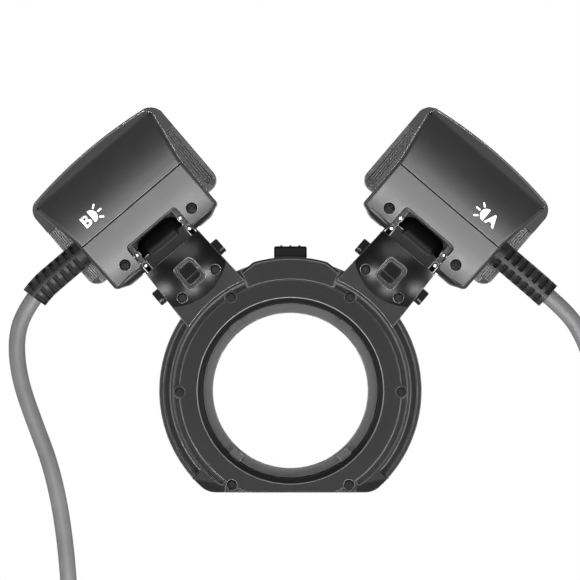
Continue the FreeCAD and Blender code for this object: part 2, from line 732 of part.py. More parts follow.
def release_button():
    top = block(-RELEASE_HALF_X, RELEASE_HALF_X, RELEASE_REAR_Y, RELEASE_FRONT_Y,
                RELEASE_BASE_Z, RELEASE_TOP_Z)
    edges = [e for e in top.Edges if e.BoundBox.ZMin > RELEASE_TOP_Z - 0.1 or abs(e.tangentAt(0).z) > 0.9]
    top = top.makeFillet(0.8, edges)
    reach = RELEASE_HALF_X + FLANGE_OUT
    flange = block(-reach, reach, RELEASE_REAR_Y, RELEASE_FRONT_Y, RELEASE_BASE_Z,
                   RELEASE_BASE_Z + FLANGE_THICK)
    first = -RELEASE_RIDGE_PITCH * (RELEASE_RIDGES - 1) / 2
    ridges = [
        rod_y(RELEASE_RIDGE_R, RELEASE_REAR_Y + 1, RELEASE_FRONT_Y - 1, first + n * RELEASE_RIDGE_PITCH,
              RELEASE_TOP_Z)
        for n in range(RELEASE_RIDGES)
    ]
    return joined([top, flange] + ridges)


def release_yoke():
    rear = yoke_rear_y()
    arc = sector(YOKE_IN_R, YOKE_OUT_R, -YOKE_HALF_ANGLE, YOKE_HALF_ANGLE, rear, rear + YOKE_THICK)
    stem = block(-YOKE_STEM_X, YOKE_STEM_X, rear, rear + YOKE_THICK, YOKE_OUT_R - 1, RELEASE_BASE_Z)
    foot_y = RELEASE_REAR_Y + 2
    foot = block(-YOKE_STEM_X, YOKE_STEM_X, rear, foot_y, RELEASE_BASE_Z - 0.8, RELEASE_BASE_Z)
    return joined([arc, stem, foot])


def release_spring():
    middle = (RELEASE_REAR_Y + RELEASE_FRONT_Y) / 2 + 1.5
    return tube_z(SPRING_R, SPRING_WALL, pocket_floor_z(), RELEASE_BASE_Z, 0, middle)


def tube_z(radius, wall, z_low, z_high, x, y):
    return rod_z(radius, z_low, z_high, x, y).cut(rod_z(radius - wall, z_low, z_high, x, y))


def upper_hook(side):
    return hook_box(side, 1, 0, HOOK_TIP_R, HOOK_TAIL_R)


def lower_hooks():
    return Part.makeCompound([hook_box(side, -1, 0, HOOK_TIP_R, HOOK_TAIL_R - 1) for side in (-1, 1)])


def index_racks():
    racks = []
    for side in (-1, 1):
        ends = sorted((side * (HEAD_ANGLE - 5), side * (HEAD_ANGLE + ORBIT_TRAVEL + 5)))
        band = sector(RACK_IN_R, RACK_OUT_R, *ends, RACK_Y - RACK_HALF_Y, RACK_Y + RACK_HALF_Y)
        angle = HEAD_ANGLE
        while angle < HEAD_ANGLE + ORBIT_TRAVEL + 1:
            p = at_angle(RACK_OUT_R, side * angle)
            band = band.cut(rod_y(RACK_NOTCH_R, RACK_Y - 2, RACK_Y + 2, p.x, p.z))
            angle += RACK_STEP
        racks.append(band)
    return Part.makeCompound(racks)


# Holder


def holder_prism(y_low, y_high, top_r):
    low_z = HOLDER_FOOT_R - 6
    span = HOLDER_TOP_R - HOLDER_FOOT_R
    slope = (HOLDER_HALF_LOW - HOLDER_HALF_TOP) / span
    low_half = HOLDER_HALF_LOW + slope * 6
    top_half = HOLDER_HALF_TOP + slope * (HOLDER_TOP_R - top_r)
    outline = [(-low_half, low_z), (low_half, low_z), (top_half, top_r), (-top_half, top_r)]
    return plate(outline, y_low, y_high).cut(rod_y(HOLDER_FOOT_R, y_low - 1, y_high + 1))


def holder_half(radius):
    share = (radius - HOLDER_FOOT_R) / (HOLDER_TOP_R - HOLDER_FOOT_R)
    return HOLDER_HALF_LOW + share * (HOLDER_HALF_TOP - HOLDER_HALF_LOW)


def side_cavities():
    """Room for the side buttons' flanges and springs, and their openings in the walls."""
    z_flange = SIDE_Z / 2 + SIDE_FLANGE_OUT + SLIDE_GAP
    y_flange = SIDE_YW / 2 + SIDE_FLANGE_OUT + SLIDE_GAP
    z_open = SIDE_Z / 2 + FIT_GAP
    y_open = SIDE_YW / 2 + FIT_GAP
    shapes = []
    for side in (-1, 1):
        inner = sorted((side * SIDE_CAVITY_IN, side * SIDE_WALL_IN))
        outer = sorted((side * (SIDE_WALL_IN - 1), side * (HOLDER_HALF_LOW + 2)))
        shapes += [
            block(*inner, SIDE_Y - y_flange, SIDE_Y + y_flange, SIDE_R - z_flange, SIDE_R + z_flange),
            block(*outer, SIDE_Y - y_open, SIDE_Y + y_open, SIDE_R - z_open, SIDE_R + z_open),
        ]
    return shapes


def neck(gap=0.0):
    half = BARREL_HALF + gap
    rear = HINGE_Y - BARREL_R + 0.3 - gap
    return block(-half, half, rear, HINGE_Y + BARREL_R - 0.3, FRAME_TOP_R - NECK_DEPTH - gap, HINGE_R)


def holder_cover():
    prism = holder_prism(DOME_TOP_Y - 2, HOLDER_SPLIT_Y, HOLDER_TOP_R)
    dome = Part.makeSphere(DOME_R, point(0, DOME_TOP_Y + DOME_R, HOLDER_TOP_R))
    far = HOLDER_HALF_LOW + 5
    flap = block(-far, far, FLAP_Y, HOLDER_SPLIT_Y, HOLDER_FOOT_R - 10, HOLDER_TOP_R + 5)
    shape = prism.common(dome.fuse(flap))
    recess_x = LATCH_X / 2 + LATCH_RIM_X
    recess_z = LATCH_Z / 2 + LATCH_RIM_Z
    latch_gap = LATCH_X / 2 + FIT_GAP
    cavity_x = LATCH_X / 2 + LATCH_FLANGE_OUT + SLIDE_GAP
    cavity_z = LATCH_Z / 2 + LATCH_FLANGE_OUT + SLIDE_GAP
    cuts = [
        rod_y(RIM_R + SLIDE_GAP, RAIL_REAR_Y - SLIDE_GAP, HOLDER_SPLIT_Y + 1),
        rounded_plate(recess_x, LATCH_R - recess_z, LATCH_R + recess_z, LATCH_RECESS_ROUND,
                      DOME_TOP_Y - 3, LATCH_RECESS_Y),
        rounded_plate(latch_gap, LATCH_R - LATCH_Z / 2 - FIT_GAP, LATCH_R + LATCH_Z / 2 + FIT_GAP,
                      LATCH_ROUND, DOME_TOP_Y - 3, HOLDER_SPLIT_Y + 1),
        block(-cavity_x, cavity_x, LATCH_WALL_Y, HOLDER_SPLIT_Y + 1, LATCH_R - cavity_z, LATCH_R + cavity_z),
        neck(FIT_GAP),
        block(-HOLDER_HALF_LOW - 1, HOLDER_HALF_LOW + 1, HINGE_Y - BARREL_R - 0.5, HOLDER_SPLIT_Y + 1,
              FRAME_TOP_R, HOLDER_TOP_R + 1),
    ] + side_cavities()
    for x in (-HOLDER_SCREW_X, HOLDER_SCREW_X):
        cuts.append(rod_y(HOLDER_SCREW_HEAD_R + FIT_GAP, DOME_TOP_Y - 3, HOLDER_SCREW_FLOOR_Y,
                          x, HOLDER_SCREW_R))
        cuts.append(rod_y(HOLDER_SCREW_SHANK_R + SEAT_GAP, DOME_TOP_Y - 3, 5, x, HOLDER_SCREW_R))
    shape = shape.cut(cuts[0].multiFuse(cuts[1:]))
    lug = sector(RAIL_R + SLIDE_GAP, SLOT_R - SLIDE_GAP, -LUG_HALF_ANGLE, LUG_HALF_ANGLE,
                 RAIL_REAR_Y - SLIDE_GAP - 0.1, SLOT_REAR_FLOOR_Y - LUG_DEPTH_GAP)
    return joined([shape, lug])


def barrel():
    shape = rod_x(BARREL_R, -BARREL_HALF, BARREL_HALF, HINGE_Y, HINGE_R)
    ends = [e for e in shape.Edges if e.Curve.TypeId == "Part::GeomCircle"]
    return shape.makeFillet(BARREL_ROUND, ends)


def holder_frame():
    shape = holder_prism(HOLDER_SPLIT_Y, HOLDER_FRONT_Y, FRAME_TOP_R)
    far = HOLDER_HALF_LOW + 5
    run = HOLDER_FRONT_Y + 1 - FRAME_CHAMFER_Y
    wedge = [
        point(-far, FRAME_CHAMFER_Y - 1, FRAME_TOP_R + 1),
        point(-far, FRAME_CHAMFER_Y + run, FRAME_TOP_R - run),
        point(-far, FRAME_CHAMFER_Y + run, FRAME_TOP_R + 1),
    ]
    chamfer = Part.Face(Part.makePolygon(wedge + wedge[:1])).extrude(point(2 * far, 0, 0))
    shape = shape.cut(chamfer)
    cheeks = []
    for side in (-1, 1):
        span = sorted((side * CHEEK_IN, side * holder_half(CHEEK_TOP_R)))
        cheeks.append(block(*span, HOLDER_SPLIT_Y, HINGE_Y + CHEEK_HALF_Y, FRAME_TOP_R - 1, CHEEK_TOP_R))
    shape = joined([shape, neck(), barrel()] + cheeks)
    spring_r = SPRING_R + FIT_GAP
    cuts = [
        rod_y(RIM_R + SLIDE_GAP, HOLDER_SPLIT_Y - 1, RIM_FRONT_Y + SLIDE_GAP),
        rod_z(PLUNGER_R + SEAT_GAP, RIM_R, PLUNGER_TOP_R, 0, RACK_Y),
        rod_x(PIN_R + SEAT_GAP, -BARREL_HALF - 1, BARREL_HALF + 1, HINGE_Y, HINGE_R),
        rod_y(spring_r, HOLDER_SPLIT_Y - 1, HOLDER_SPLIT_Y + SPRING_SEAT, 0, LATCH_R),
    ] + side_cavities()
    for x in (-HOLDER_SCREW_X, HOLDER_SCREW_X):
        cuts.append(rod_y(HOLDER_SCREW_SHANK_R + SEAT_GAP, HOLDER_SPLIT_Y - 1,
                          HOLDER_SCREW_TIP_Y + FIT_GAP, x, HOLDER_SCREW_R))
    shape = shape.cut(cuts[0].multiFuse(cuts[1:]))
    lug = sector(RAIL_R + SLIDE_GAP, SLOT_R - SLIDE_GAP, -LUG_HALF_ANGLE, LUG_HALF_ANGLE,
                 SLOT_FRONT_FLOOR_Y + LUG_DEPTH_GAP, RIM_FRONT_Y + SLIDE_GAP + 0.1)
    return joined([shape, lug])


def holder_screws():
    return Part.makeCompound([
        screw(HOLDER_SCREW_HEAD_R, HOLDER_SCREW_SHANK_R, HOLDER_SCREW_HEAD, HOLDER_SCREW_FLOOR_Y,
              HOLDER_SCREW_TIP_Y, x, HOLDER_SCREW_R, HOLDER_SCREW_HEAD_R * 0.6)
        for x in (-HOLDER_SCREW_X, HOLDER_SCREW_X)
    ])


def hinge_pin():
    shaft = rod_x(PIN_R, -EAR_HALF_OUT - FIT_GAP, EAR_HALF_OUT + FIT_GAP, HINGE_Y, HINGE_R)
    low = EAR_HALF_OUT + FIT_GAP
    heads = [
        rod_x(PIN_HEAD_R, low, low + PIN_HEAD, HINGE_Y, HINGE_R),
        rod_x(PIN_HEAD_R, -low - PIN_HEAD, -low, HINGE_Y, HINGE_R),
    ]
    return joined([shaft] + heads)


def index_plunger():
    straight = rod_z(PLUNGER_R, RIM_R + SLIDE_GAP, PLUNGER_TOP_R, 0, RACK_Y)
    tip = Part.makeCone(PLUNGER_R * 0.4, PLUNGER_R, RIM_R + SLIDE_GAP - PLUNGER_TIP_R,
                        point(0, RACK_Y, PLUNGER_TIP_R), Z_AXIS)
    return joined([straight, tip])


def latch_button():
    low = LATCH_R - LATCH_Z / 2
    high = LATCH_R + LATCH_Z / 2
    stem = rounded_plate(LATCH_X / 2, low, high, LATCH_ROUND, LATCH_TOP_Y, LATCH_FLANGE_Y)
    step_z = low + LATCH_Z * LATCH_STEP_SHARE
    stem = stem.cut(block(-LATCH_X, LATCH_X, LATCH_TOP_Y - 1, LATCH_TOP_Y + LATCH_STEP, step_z, high + 1))
    reach = LATCH_X / 2 + LATCH_FLANGE_OUT
    flange = block(-reach, reach, LATCH_FLANGE_Y, LATCH_FLANGE_Y + LATCH_FLANGE,
                   low - LATCH_FLANGE_OUT, high + LATCH_FLANGE_OUT)
    return joined([stem, flange])


def latch_spring():
    start = LATCH_FLANGE_Y + LATCH_FLANGE
    outer = rod_y(SPRING_R, start, HOLDER_SPLIT_Y + SPRING_SEAT, 0, LATCH_R)
    return outer.cut(rod_y(SPRING_R - SPRING_WALL, start, HOLDER_SPLIT_Y + SPRING_SEAT, 0, LATCH_R))


def side_flange_x():
    return SIDE_WALL_IN - SLIDE_GAP - SIDE_FLANGE


def side_button(side):
    """A button in the holder's side: side is -1 or 1 along the hinge."""
    outer_x = HOLDER_HALF_LOW + SIDE_PROUD
    stem_x = sorted((side * side_flange_x(), side * outer_x))
    stem = block(*stem_x, SIDE_Y - SIDE_YW / 2, SIDE_Y + SIDE_YW / 2,
                 SIDE_R - SIDE_Z / 2, SIDE_R + SIDE_Z / 2)
    edges = [e for e in stem.Edges if abs(e.CenterOfMass.x - side * outer_x) < 0.1]
    stem = stem.makeFillet(0.5, edges)
    groove_x = sorted((side * (HOLDER_HALF_LOW + 0.3), side * (outer_x + 1)))
    groove_z = SIDE_R - SIDE_Z * 0.25
    stem = stem.cut(block(*groove_x, SIDE_Y - SIDE_YW, SIDE_Y - SIDE_YW / 2 + 0.4,
                          groove_z - 0.2, groove_z + 0.2))
    flange_x = sorted((side * side_flange_x(), side * (side_flange_x() + SIDE_FLANGE)))
    y_half = SIDE_YW / 2 + SIDE_FLANGE_OUT
    z_half = SIDE_Z / 2 + SIDE_FLANGE_OUT
    flange = block(*flange_x, SIDE_Y - y_half, SIDE_Y + y_half, SIDE_R - z_half, SIDE_R + z_half)
    return joined([stem, flange])


def side_springs():
    springs = []
    for side in (-1, 1):
        span = sorted((side * SIDE_CAVITY_IN, side * side_flange_x()))
        outer = rod_x(SPRING_R, *span, SIDE_Y, SIDE_R)
        springs.append(outer.cut(rod_x(SPRING_R - SPRING_WALL, *span, SIDE_Y, SIDE_R)))
    return Part.makeCompound(springs)


# Head


def case_block(inset):
    """The rear housing's outer or, with an inset, inner form: two crossed prisms."""
    i = inset
    low = CASE_LOW + i
    half_low = CASE_HALF_LOW - i
    half_top = CASE_HALF_TOP - i
    corner = CASE_CORNER_R - i * 0.5
    diagonal = corner * (1 - math.sqrt(0.5))
    bevel_top = low + CASE_BEVEL_Z
    top = CASE_TOP - i
    shoulder = CASE_SHOULDER - i
    y = CASE_FRONT_Y
    right = [
        point(half_low - CASE_BEVEL_X, y, low),
        point(half_low - corner, y, bevel_top),
        point(half_low - diagonal, y, bevel_top + diagonal),
        point(half_low, y, bevel_top + corner),
        point(half_low, y, CASE_FLARE_LOW),
        point(half_top, y, CASE_FLARE_TOP),
        point(half_top - CASE_SHOULDER_IN, y, shoulder),
    ]
    left = [point(-p.x, p.y, p.z) for p in right]
    edges = [
        Part.LineSegment(left[0], right[0]).toShape(),
        Part.LineSegment(right[0], right[1]).toShape(),
        Part.Arc(right[1], right[2], right[3]).toShape(),
        Part.LineSegment(right[3], right[4]).toShape(),
        Part.LineSegment(right[4], right[5]).toShape(),
        Part.LineSegment(right[5], right[6]).toShape(),
        Part.Arc(right[6], point(0, y, top), left[6]).toShape(),
        Part.LineSegment(left[6], left[5]).toShape(),
        Part.LineSegment(left[5], left[4]).toShape(),
        Part.LineSegment(left[4], left[3]).toShape(),
        Part.Arc(left[3], left[2], left[1]).toShape(),
        Part.LineSegment(left[1], left[0]).toShape(),
    ]
    front = Part.Face(Part.Wire(edges)).extrude(point(0, CASE_REAR_MID_Y - 4 - y, 0))
    far = CASE_HALF_TOP + 2
    rear = [
        point(-far, CASE_REAR_LOW_Y + i, CASE_LOW - 2),
        point(-far, CASE_REAR_MID_Y + i, CASE_REAR_MID),
        point(-far, CASE_CREASE_Y + i, CASE_CREASE - i * 0.4),
        point(-far, CASE_TOP_REAR_Y + i, CASE_TOP + 0.5 - i),
        point(-far, CASE_FRONT_Y - i, CASE_TOP + 2),
        point(-far, CASE_FRONT_Y - i, CASE_LOW - 2),
    ]
    section = [
        Part.Arc(rear[0], rear[1], rear[2]).toShape(),
        Part.LineSegment(rear[2], rear[3]).toShape(),
        Part.LineSegment(rear[3], rear[4]).toShape(),
        Part.LineSegment(rear[4], rear[5]).toShape(),
        Part.LineSegment(rear[5], rear[0]).toShape(),
    ]
    side = Part.Face(Part.Wire(section)).extrude(point(2 * far, 0, 0))
    return front.common(side)


def case_rear_y(radius):
    """Where the housing's rear face lies at a distance from the lens axis."""
    low = (CASE_REAR_LOW_Y, CASE_LOW - 2)
    mid = (CASE_REAR_MID_Y, CASE_REAR_MID)
    high = (CASE_CREASE_Y, CASE_CREASE)
    arc = Part.Arc(point(low[0], low[1], 0), point(mid[0], mid[1], 0), point(high[0], high[1], 0))
    circle = arc.toShape().Curve
    centre = circle.Center
    return centre.x - math.sqrt(circle.Radius ** 2 - (radius - centre.y) ** 2)


def bottom_round_cut(inset):
    """What the large rounding of the lower rear edge takes off the housing."""
    radius = CASE_BOTTOM_ROUND - inset
    z = CASE_LOW + inset + radius - CASE_ROUND_SINK
    y = case_rear_y(z) + inset + radius - CASE_ROUND_SINK
    far = CASE_HALF_TOP + 2
    corner = block(-far, far, CASE_REAR_MID_Y - 2, y, CASE_LOW - 2, z)
    return corner.cut(rod_x(radius, -far - 1, far + 1, y, z))


def case_shell():
    outer = case_block(0)
    rear_edges = [
        e
        for e in outer.Edges
        if e.BoundBox.YMax < CASE_TOP_REAR_Y - 4 and e.CenterOfMass.z < CASE_CREASE - 1.2
    ]
    outer = outer.makeFillet(CASE_EDGE_ROUND, rear_edges).cut(bottom_round_cut(0))
    inner = case_block(CASE_WALL).cut(bottom_round_cut(CASE_WALL))
    hole = block(-WIRE_HOLE_HALF, WIRE_HOLE_HALF, 0, CASE_FRONT_Y + 1, WIRE_HOLE_LOW, WIRE_HOLE_TOP)
    return outer.cut(inner.fuse(hole))


def case_slab(low, high):
    """A slab that holds all of the housing between two heights."""
    far = CASE_HALF_TOP + 5
    return block(-far, far, CASE_REAR_MID_Y - 5, CASE_FRONT_Y + 5, low, high)


def relief_hole(out):
    span = sorted((out * (CASE_HALF_LOW - CASE_WALL - 1), out * (CASE_HALF_TOP + 2)))
    return rod_x(RELIEF_R + FIT_GAP, *span, RELIEF_Y, RELIEF_UP)


def rear_shell(out):
    shape = case_shell().common(case_slab(SEAM + SEAM_GAP / 2, CASE_TOP + 5))
    posts = [
        rod_y(BOARD_POST_R, case_rear_y(z) + 0.8, BOARD_REAR_Y, x, z)
        for x in (-BOARD_POST_X, BOARD_POST_X)
        for z in (BOARD_LOW + BOARD_POST_IN, BOARD_TOP - BOARD_POST_IN)
    ]
    return joined([shape] + posts).cut(relief_hole(out))


def lower_cover(out):
    shape = case_shell().common(case_slab(CASE_LOW - 5, SEAM - SEAM_GAP / 2))
    form = case_block(0).cut(bottom_round_cut(0))
    walls = []
    for side in (-1, 1):
        span = sorted((side * POCKET_HALF, side * (POCKET_HALF + POCKET_WALL)))
        wall = block(*span, CASE_REAR_MID_Y, CASE_FRONT_Y, CASE_LOW, POCKET_TOP)
        walls.append(wall.common(form))
    boss_r = POST_R + POST_WALL
    for x in (-CASE_SCREW_X, CASE_SCREW_X):
        boss = rod_y(boss_r, CASE_REAR_MID_Y, POST_REAR_Y, x, CASE_SCREW_UP)
        walls.append(boss.common(form))
    shape = joined([shape] + walls)
    notch = rounded_plate(NOTCH_HALF, CASE_LOW - 8, NOTCH_TOP, NOTCH_ROUND, CASE_REAR_MID_Y - 2, 0)
    pocket_rear = CASE_REAR_LOW_Y + 2.1
    pocket = block(-POCKET_HALF, POCKET_HALF, pocket_rear, CASE_FRONT_Y + 1, CASE_LOW - 1, POCKET_TOP)
    cuts = [notch, pocket, relief_hole(out)]
    for x in (-CASE_SCREW_X, CASE_SCREW_X):
        seat = case_rear_y(CASE_SCREW_UP) + CASE_SCREW_SINK
        cuts.append(rod_y(CASE_SCREW_HEAD_R + FIT_GAP, CASE_REAR_MID_Y - 2, seat, x, CASE_SCREW_UP))
        cuts.append(rod_y(CASE_SCREW_SHANK_R + SEAT_GAP, CASE_REAR_MID_Y - 2, 0, x, CASE_SCREW_UP))
    shape = shape.cut(cuts[0].multiFuse(cuts[1:]))
    return shape


def case_screws():
    seat = case_rear_y(CASE_SCREW_UP) + CASE_SCREW_SINK
    return Part.makeCompound([
        screw(CASE_SCREW_HEAD_R, CASE_SCREW_SHANK_R, CASE_SCREW_HEAD, seat, POST_FRONT_Y - 1,
              x, CASE_SCREW_UP, CASE_SCREW_HEAD_R * 0.6)
        for x in (-CASE_SCREW_X, CASE_SCREW_X)
    ])


def hinge_saddle():
    top = POCKET_TOP + SADDLE_THICK
    base = block(-SADDLE_HALF, SADDLE_HALF, SADDLE_REAR_Y, SADDLE_FRONT_Y, POCKET_TOP, top)
    pieces = [base]
    for side in (-1, 1):
        span = sorted((side * EAR_HALF_IN, side * EAR_HALF_OUT))
        pieces.append(rod_x(EAR_R, *span, HINGE_Y, 0))
        pieces.append(block(*span, HINGE_Y - EAR_R, HINGE_Y + EAR_R, 0, POCKET_TOP + 0.2))
        middle = (EAR_HALF_IN + EAR_HALF_OUT) / 2
        for up in (-RIVET_OFFSET, RIVET_OFFSET):
            pieces.append(rod_y(RIVET_R, HINGE_Y - EAR_R - RIVET_PROUD, HINGE_Y - EAR_R / 2,
                                side * middle, up))
        x = side * CASE_SCREW_X
        pieces.append(rod_y(POST_R, POST_REAR_Y, POST_FRONT_Y, x, CASE_SCREW_UP))
        pieces.append(block(x - 0.6, x + 0.6, SADDLE_REAR_Y, POST_FRONT_Y,
                            CASE_SCREW_UP, POCKET_TOP + 0.2))
    shape = joined(pieces)
    cuts = [rod_x(PIN_R + PIN_GAP, -EAR_HALF_OUT - 1, EAR_HALF_OUT + 1, HINGE_Y, 0)]
    for x in (-CASE_SCREW_X, CASE_SCREW_X):
        bore_end = POST_FRONT_Y - POST_FLOOR
        cuts.append(rod_y(CASE_SCREW_SHANK_R + SEAT_GAP, POST_REAR_Y - 1, bore_end, x, CASE_SCREW_UP))
    return shape.cut(cuts[0].multiFuse(cuts[1:]))


def front_block(inset, y_low, y_high):
    i = inset
    half = FRONT_HALF - i
    low = FRONT_LOW + i
    corner = FRONT_CORNER_R - i * 0.5
    diagonal = corner * (1 - math.sqrt(0.5))
    shoulder = FRONT_SHOULDER - i
    y = y_low
    right = [
        point(half - corner, y, low),
        point(half - diagonal, y, low + diagonal),
        point(half, y, low + corner),
        point(half, y, shoulder - corner),
        point(half - diagonal, y, shoulder - diagonal),
        point(half - corner, y, shoulder + 0.3),
    ]
    left = [point(-p.x, p.y, p.z) for p in right]
    edges = [
        Part.LineSegment(left[0], right[0]).toShape(),
        Part.Arc(right[0], right[1], right[2]).toShape(),
        Part.LineSegment(right[2], right[3]).toShape(),
        Part.Arc(right[3], right[4], right[5]).toShape(),
        Part.Arc(right[5], point(0, y, FRONT_TOP - i), left[5]).toShape(),
        Part.Arc(left[5], left[4], left[3]).toShape(),
        Part.LineSegment(left[3], left[2]).toShape(),
        Part.Arc(left[2], left[1], left[0]).toShape(),
    ]
    return Part.Face(Part.Wire(edges)).extrude(point(0, y_high - y_low, 0))


def side_wedge(side):
    """The sloped rear edge of the front case, above and beside the rear housing."""
    reach = FRONT_HALF + 1
    slope = FRONT_SIDE_CHAMFER_Y / FRONT_SIDE_CHAMFER_X
    inner = FRONT_HALF - FRONT_SIDE_CHAMFER_X
    low = FRONT_LOW - 5
    section = [
        point(side * inner, FRONT_REAR_Y, low),
        point(side * reach, FRONT_REAR_Y + slope * (reach - inner), low),
        point(side * reach, FRONT_REAR_Y - 1, low),
        point(side * inner, FRONT_REAR_Y - 1, low),
    ]
    return Part.Face(Part.makePolygon(section + section[:1])).extrude(point(0, 0, FRONT_TOP + 5 - low))


def grip_recess(side):
    """Stepped finger recess in one side of the front case."""
    steps = []
    for n in range(GRIP_STEPS):
        y_low = FRONT_REAR_Y - 1 if n == 0 else FRONT_REAR_Y + n * GRIP_STEP_Y
        y_high = FRONT_REAR_Y + (n + 1) * GRIP_STEP_Y
        span = sorted((side * (GRIP_IN + n * GRIP_STEP_X), side * (FRONT_HALF + 2)))
        shape = block(*span, y_low, y_high, GRIP_LOW, GRIP_TOP)
        steps.append(shape)
    return joined(steps)


def window_face_y():
    return FRONT_END_Y - WINDOW_RECESS


def ledge_y():
    return window_face_y() - WINDOW_THICK - SEAT_GAP


def front_case():
    outer = front_block(0, FRONT_REAR_Y, FRONT_END_Y)
    outer = outer.cut(side_wedge(-1).fuse(side_wedge(1)))
    edges = [e for e in outer.Edges if e.BoundBox.YMin > FRONT_END_Y - 0.1]
    outer = outer.makeFillet(1.0, edges)
    inner_half = GRIP_IN - FRONT_WALL
    inner = front_block(FRONT_WALL, FRONT_REAR_Y + FRONT_WALL, ledge_y() - LEDGE_THICK)
    slim = block(-inner_half, inner_half, FRONT_REAR_Y, FRONT_END_Y, FRONT_LOW, FRONT_TOP)
    wide_y = FRONT_REAR_Y + GRIP_STEPS * GRIP_STEP_Y + FRONT_WALL
    wide = block(-FRONT_HALF, FRONT_HALF, wide_y, FRONT_END_Y, FRONT_LOW, FRONT_TOP)
    hollow = inner.common(joined([slim, wide]))
    hole = block(-WIRE_HOLE_HALF, WIRE_HOLE_HALF, 0, FRONT_REAR_Y + FRONT_WALL + 1,
                 WIRE_HOLE_LOW, WIRE_HOLE_TOP)
    window = rounded_plate(WINDOW_HALF + FIT_GAP, WINDOW_LOW - FIT_GAP, WINDOW_TOP + FIT_GAP,
                           WINDOW_CORNER_R, ledge_y(), FRONT_END_Y + 1)
    light = block(-WINDOW_HALF + LEDGE, WINDOW_HALF - LEDGE, ledge_y() - LEDGE_THICK - 1, FRONT_END_Y,
                  WINDOW_LOW + LEDGE, WINDOW_TOP - LEDGE)
    lamp = rod_y(LAMP_LENS_R + FIT_GAP, ledge_y() - LEDGE_THICK - 1, FRONT_END_Y + 1, LAMP_X, LAMP_UP)
    cuts = [hollow, hole, window, light, lamp, grip_recess(-1), grip_recess(1)]
    return outer.cut(cuts[0].multiFuse(cuts[1:]))


def front_window():
    return rounded_plate(WINDOW_HALF, WINDOW_LOW, WINDOW_TOP, WINDOW_CORNER_R,
                         window_face_y() - WINDOW_THICK, window_face_y())


def reflector_centre():
    return (WINDOW_LOW + WINDOW_TOP) / 2


def reflector_mouth_y():
    return ledge_y() - LEDGE_THICK - SEAT_GAP


def trough(shrink, half):
    mouth = reflector_mouth_y()
    centre = reflector_centre()
    low = point(-half, mouth, centre - REFLECTOR_MOUTH + shrink)
    apex = point(-half, mouth - REFLECTOR_DEPTH + shrink, centre)
    high = point(-half, mouth, centre + REFLECTOR_MOUTH - shrink)
    edges = [Part.Arc(low, apex, high).toShape(), Part.LineSegment(high, low).toShape()]
    return Part.Face(Part.Wire(edges)).extrude(point(2 * half, 0, 0))


def tube_y():
    return reflector_mouth_y() - REFLECTOR_DEPTH + REFLECTOR_WALL + TUBE_FROM_APEX


def reflector():
    mouth = reflector_mouth_y()
    centre = reflector_centre()
    half = REFLECTOR_HALF
    outer = trough(0, half)
    rim_z = REFLECTOR_MOUTH + REFLECTOR_RIM
    rim = block(-half - 1, half + 1, mouth - REFLECTOR_WALL, mouth, centre - rim_z, centre + rim_z)
    inner = trough(REFLECTOR_WALL, half - REFLECTOR_WALL)
    opening_z = REFLECTOR_MOUTH - REFLECTOR_WALL * 2
    opening = block(-half + REFLECTOR_WALL, half - REFLECTOR_WALL, mouth - REFLECTOR_WALL * 2, mouth + 1,
                    centre - opening_z, centre + opening_z)
    holes = rod_x(TUBE_R + SEAT_GAP, -half - 1, half + 1, tube_y(), centre)
    return joined([outer, rim]).cut(inner.multiFuse([opening, holes]))


def flash_tube():
    reach = REFLECTOR_HALF + TUBE_PAST_END
    centre = reflector_centre()
    glass = rod_x(TUBE_R, -reach + 1, reach - 1, tube_y(), centre)
    ends = rod_x(TUBE_R * 0.6, -reach, reach, tube_y(), centre)
    return joined([glass, ends])


def focus_lamp():
    front = FRONT_END_Y - 0.3
    body = rod_y(LAMP_LENS_R, front - LAMP_DEPTH, front, LAMP_X, LAMP_UP)
    return body.makeFillet(0.6, [e for e in body.Edges if e.BoundBox.YMin > front - 0.1])


def circuit_board():
    return block(-BOARD_HALF, BOARD_HALF, BOARD_REAR_Y, BOARD_REAR_Y + BOARD_THICK, BOARD_LOW, BOARD_TOP)


def trigger_coil():
    y = BOARD_REAR_Y + BOARD_THICK + COIL_BOBBIN_R
    z = (BOARD_LOW + BOARD_TOP) / 2
    half = COIL_LENGTH / 2
    return joined([
        rod_x(COIL_R, -half, half, y, z),
        rod_x(COIL_BOBBIN_R, -half, -half + COIL_FLANGE, y, z),
        rod_x(COIL_BOBBIN_R, half - COIL_FLANGE, half, y, z),
    ])


def relief_frame(name, along):
    """Centre, direction and side of the relief's line at a distance from the case's wall."""
    out = SIDES[name]
    bend = math.radians(RELIEF_BEND[name])
    radius = RELIEF_CURVED / bend
    angle = max(0.0, along - RELIEF_STRAIGHT) / radius
    straight = min(along, RELIEF_STRAIGHT)
    x = CASE_HALF_LOW + straight + radius * math.sin(angle)
    z = RELIEF_UP - radius * (1 - math.cos(angle))
    centre = point(out * x, RELIEF_Y, z)
    direction = point(out * math.cos(angle), 0, -math.sin(angle))
    normal = point(out * math.sin(angle), 0, math.cos(angle))
    return centre, direction, normal


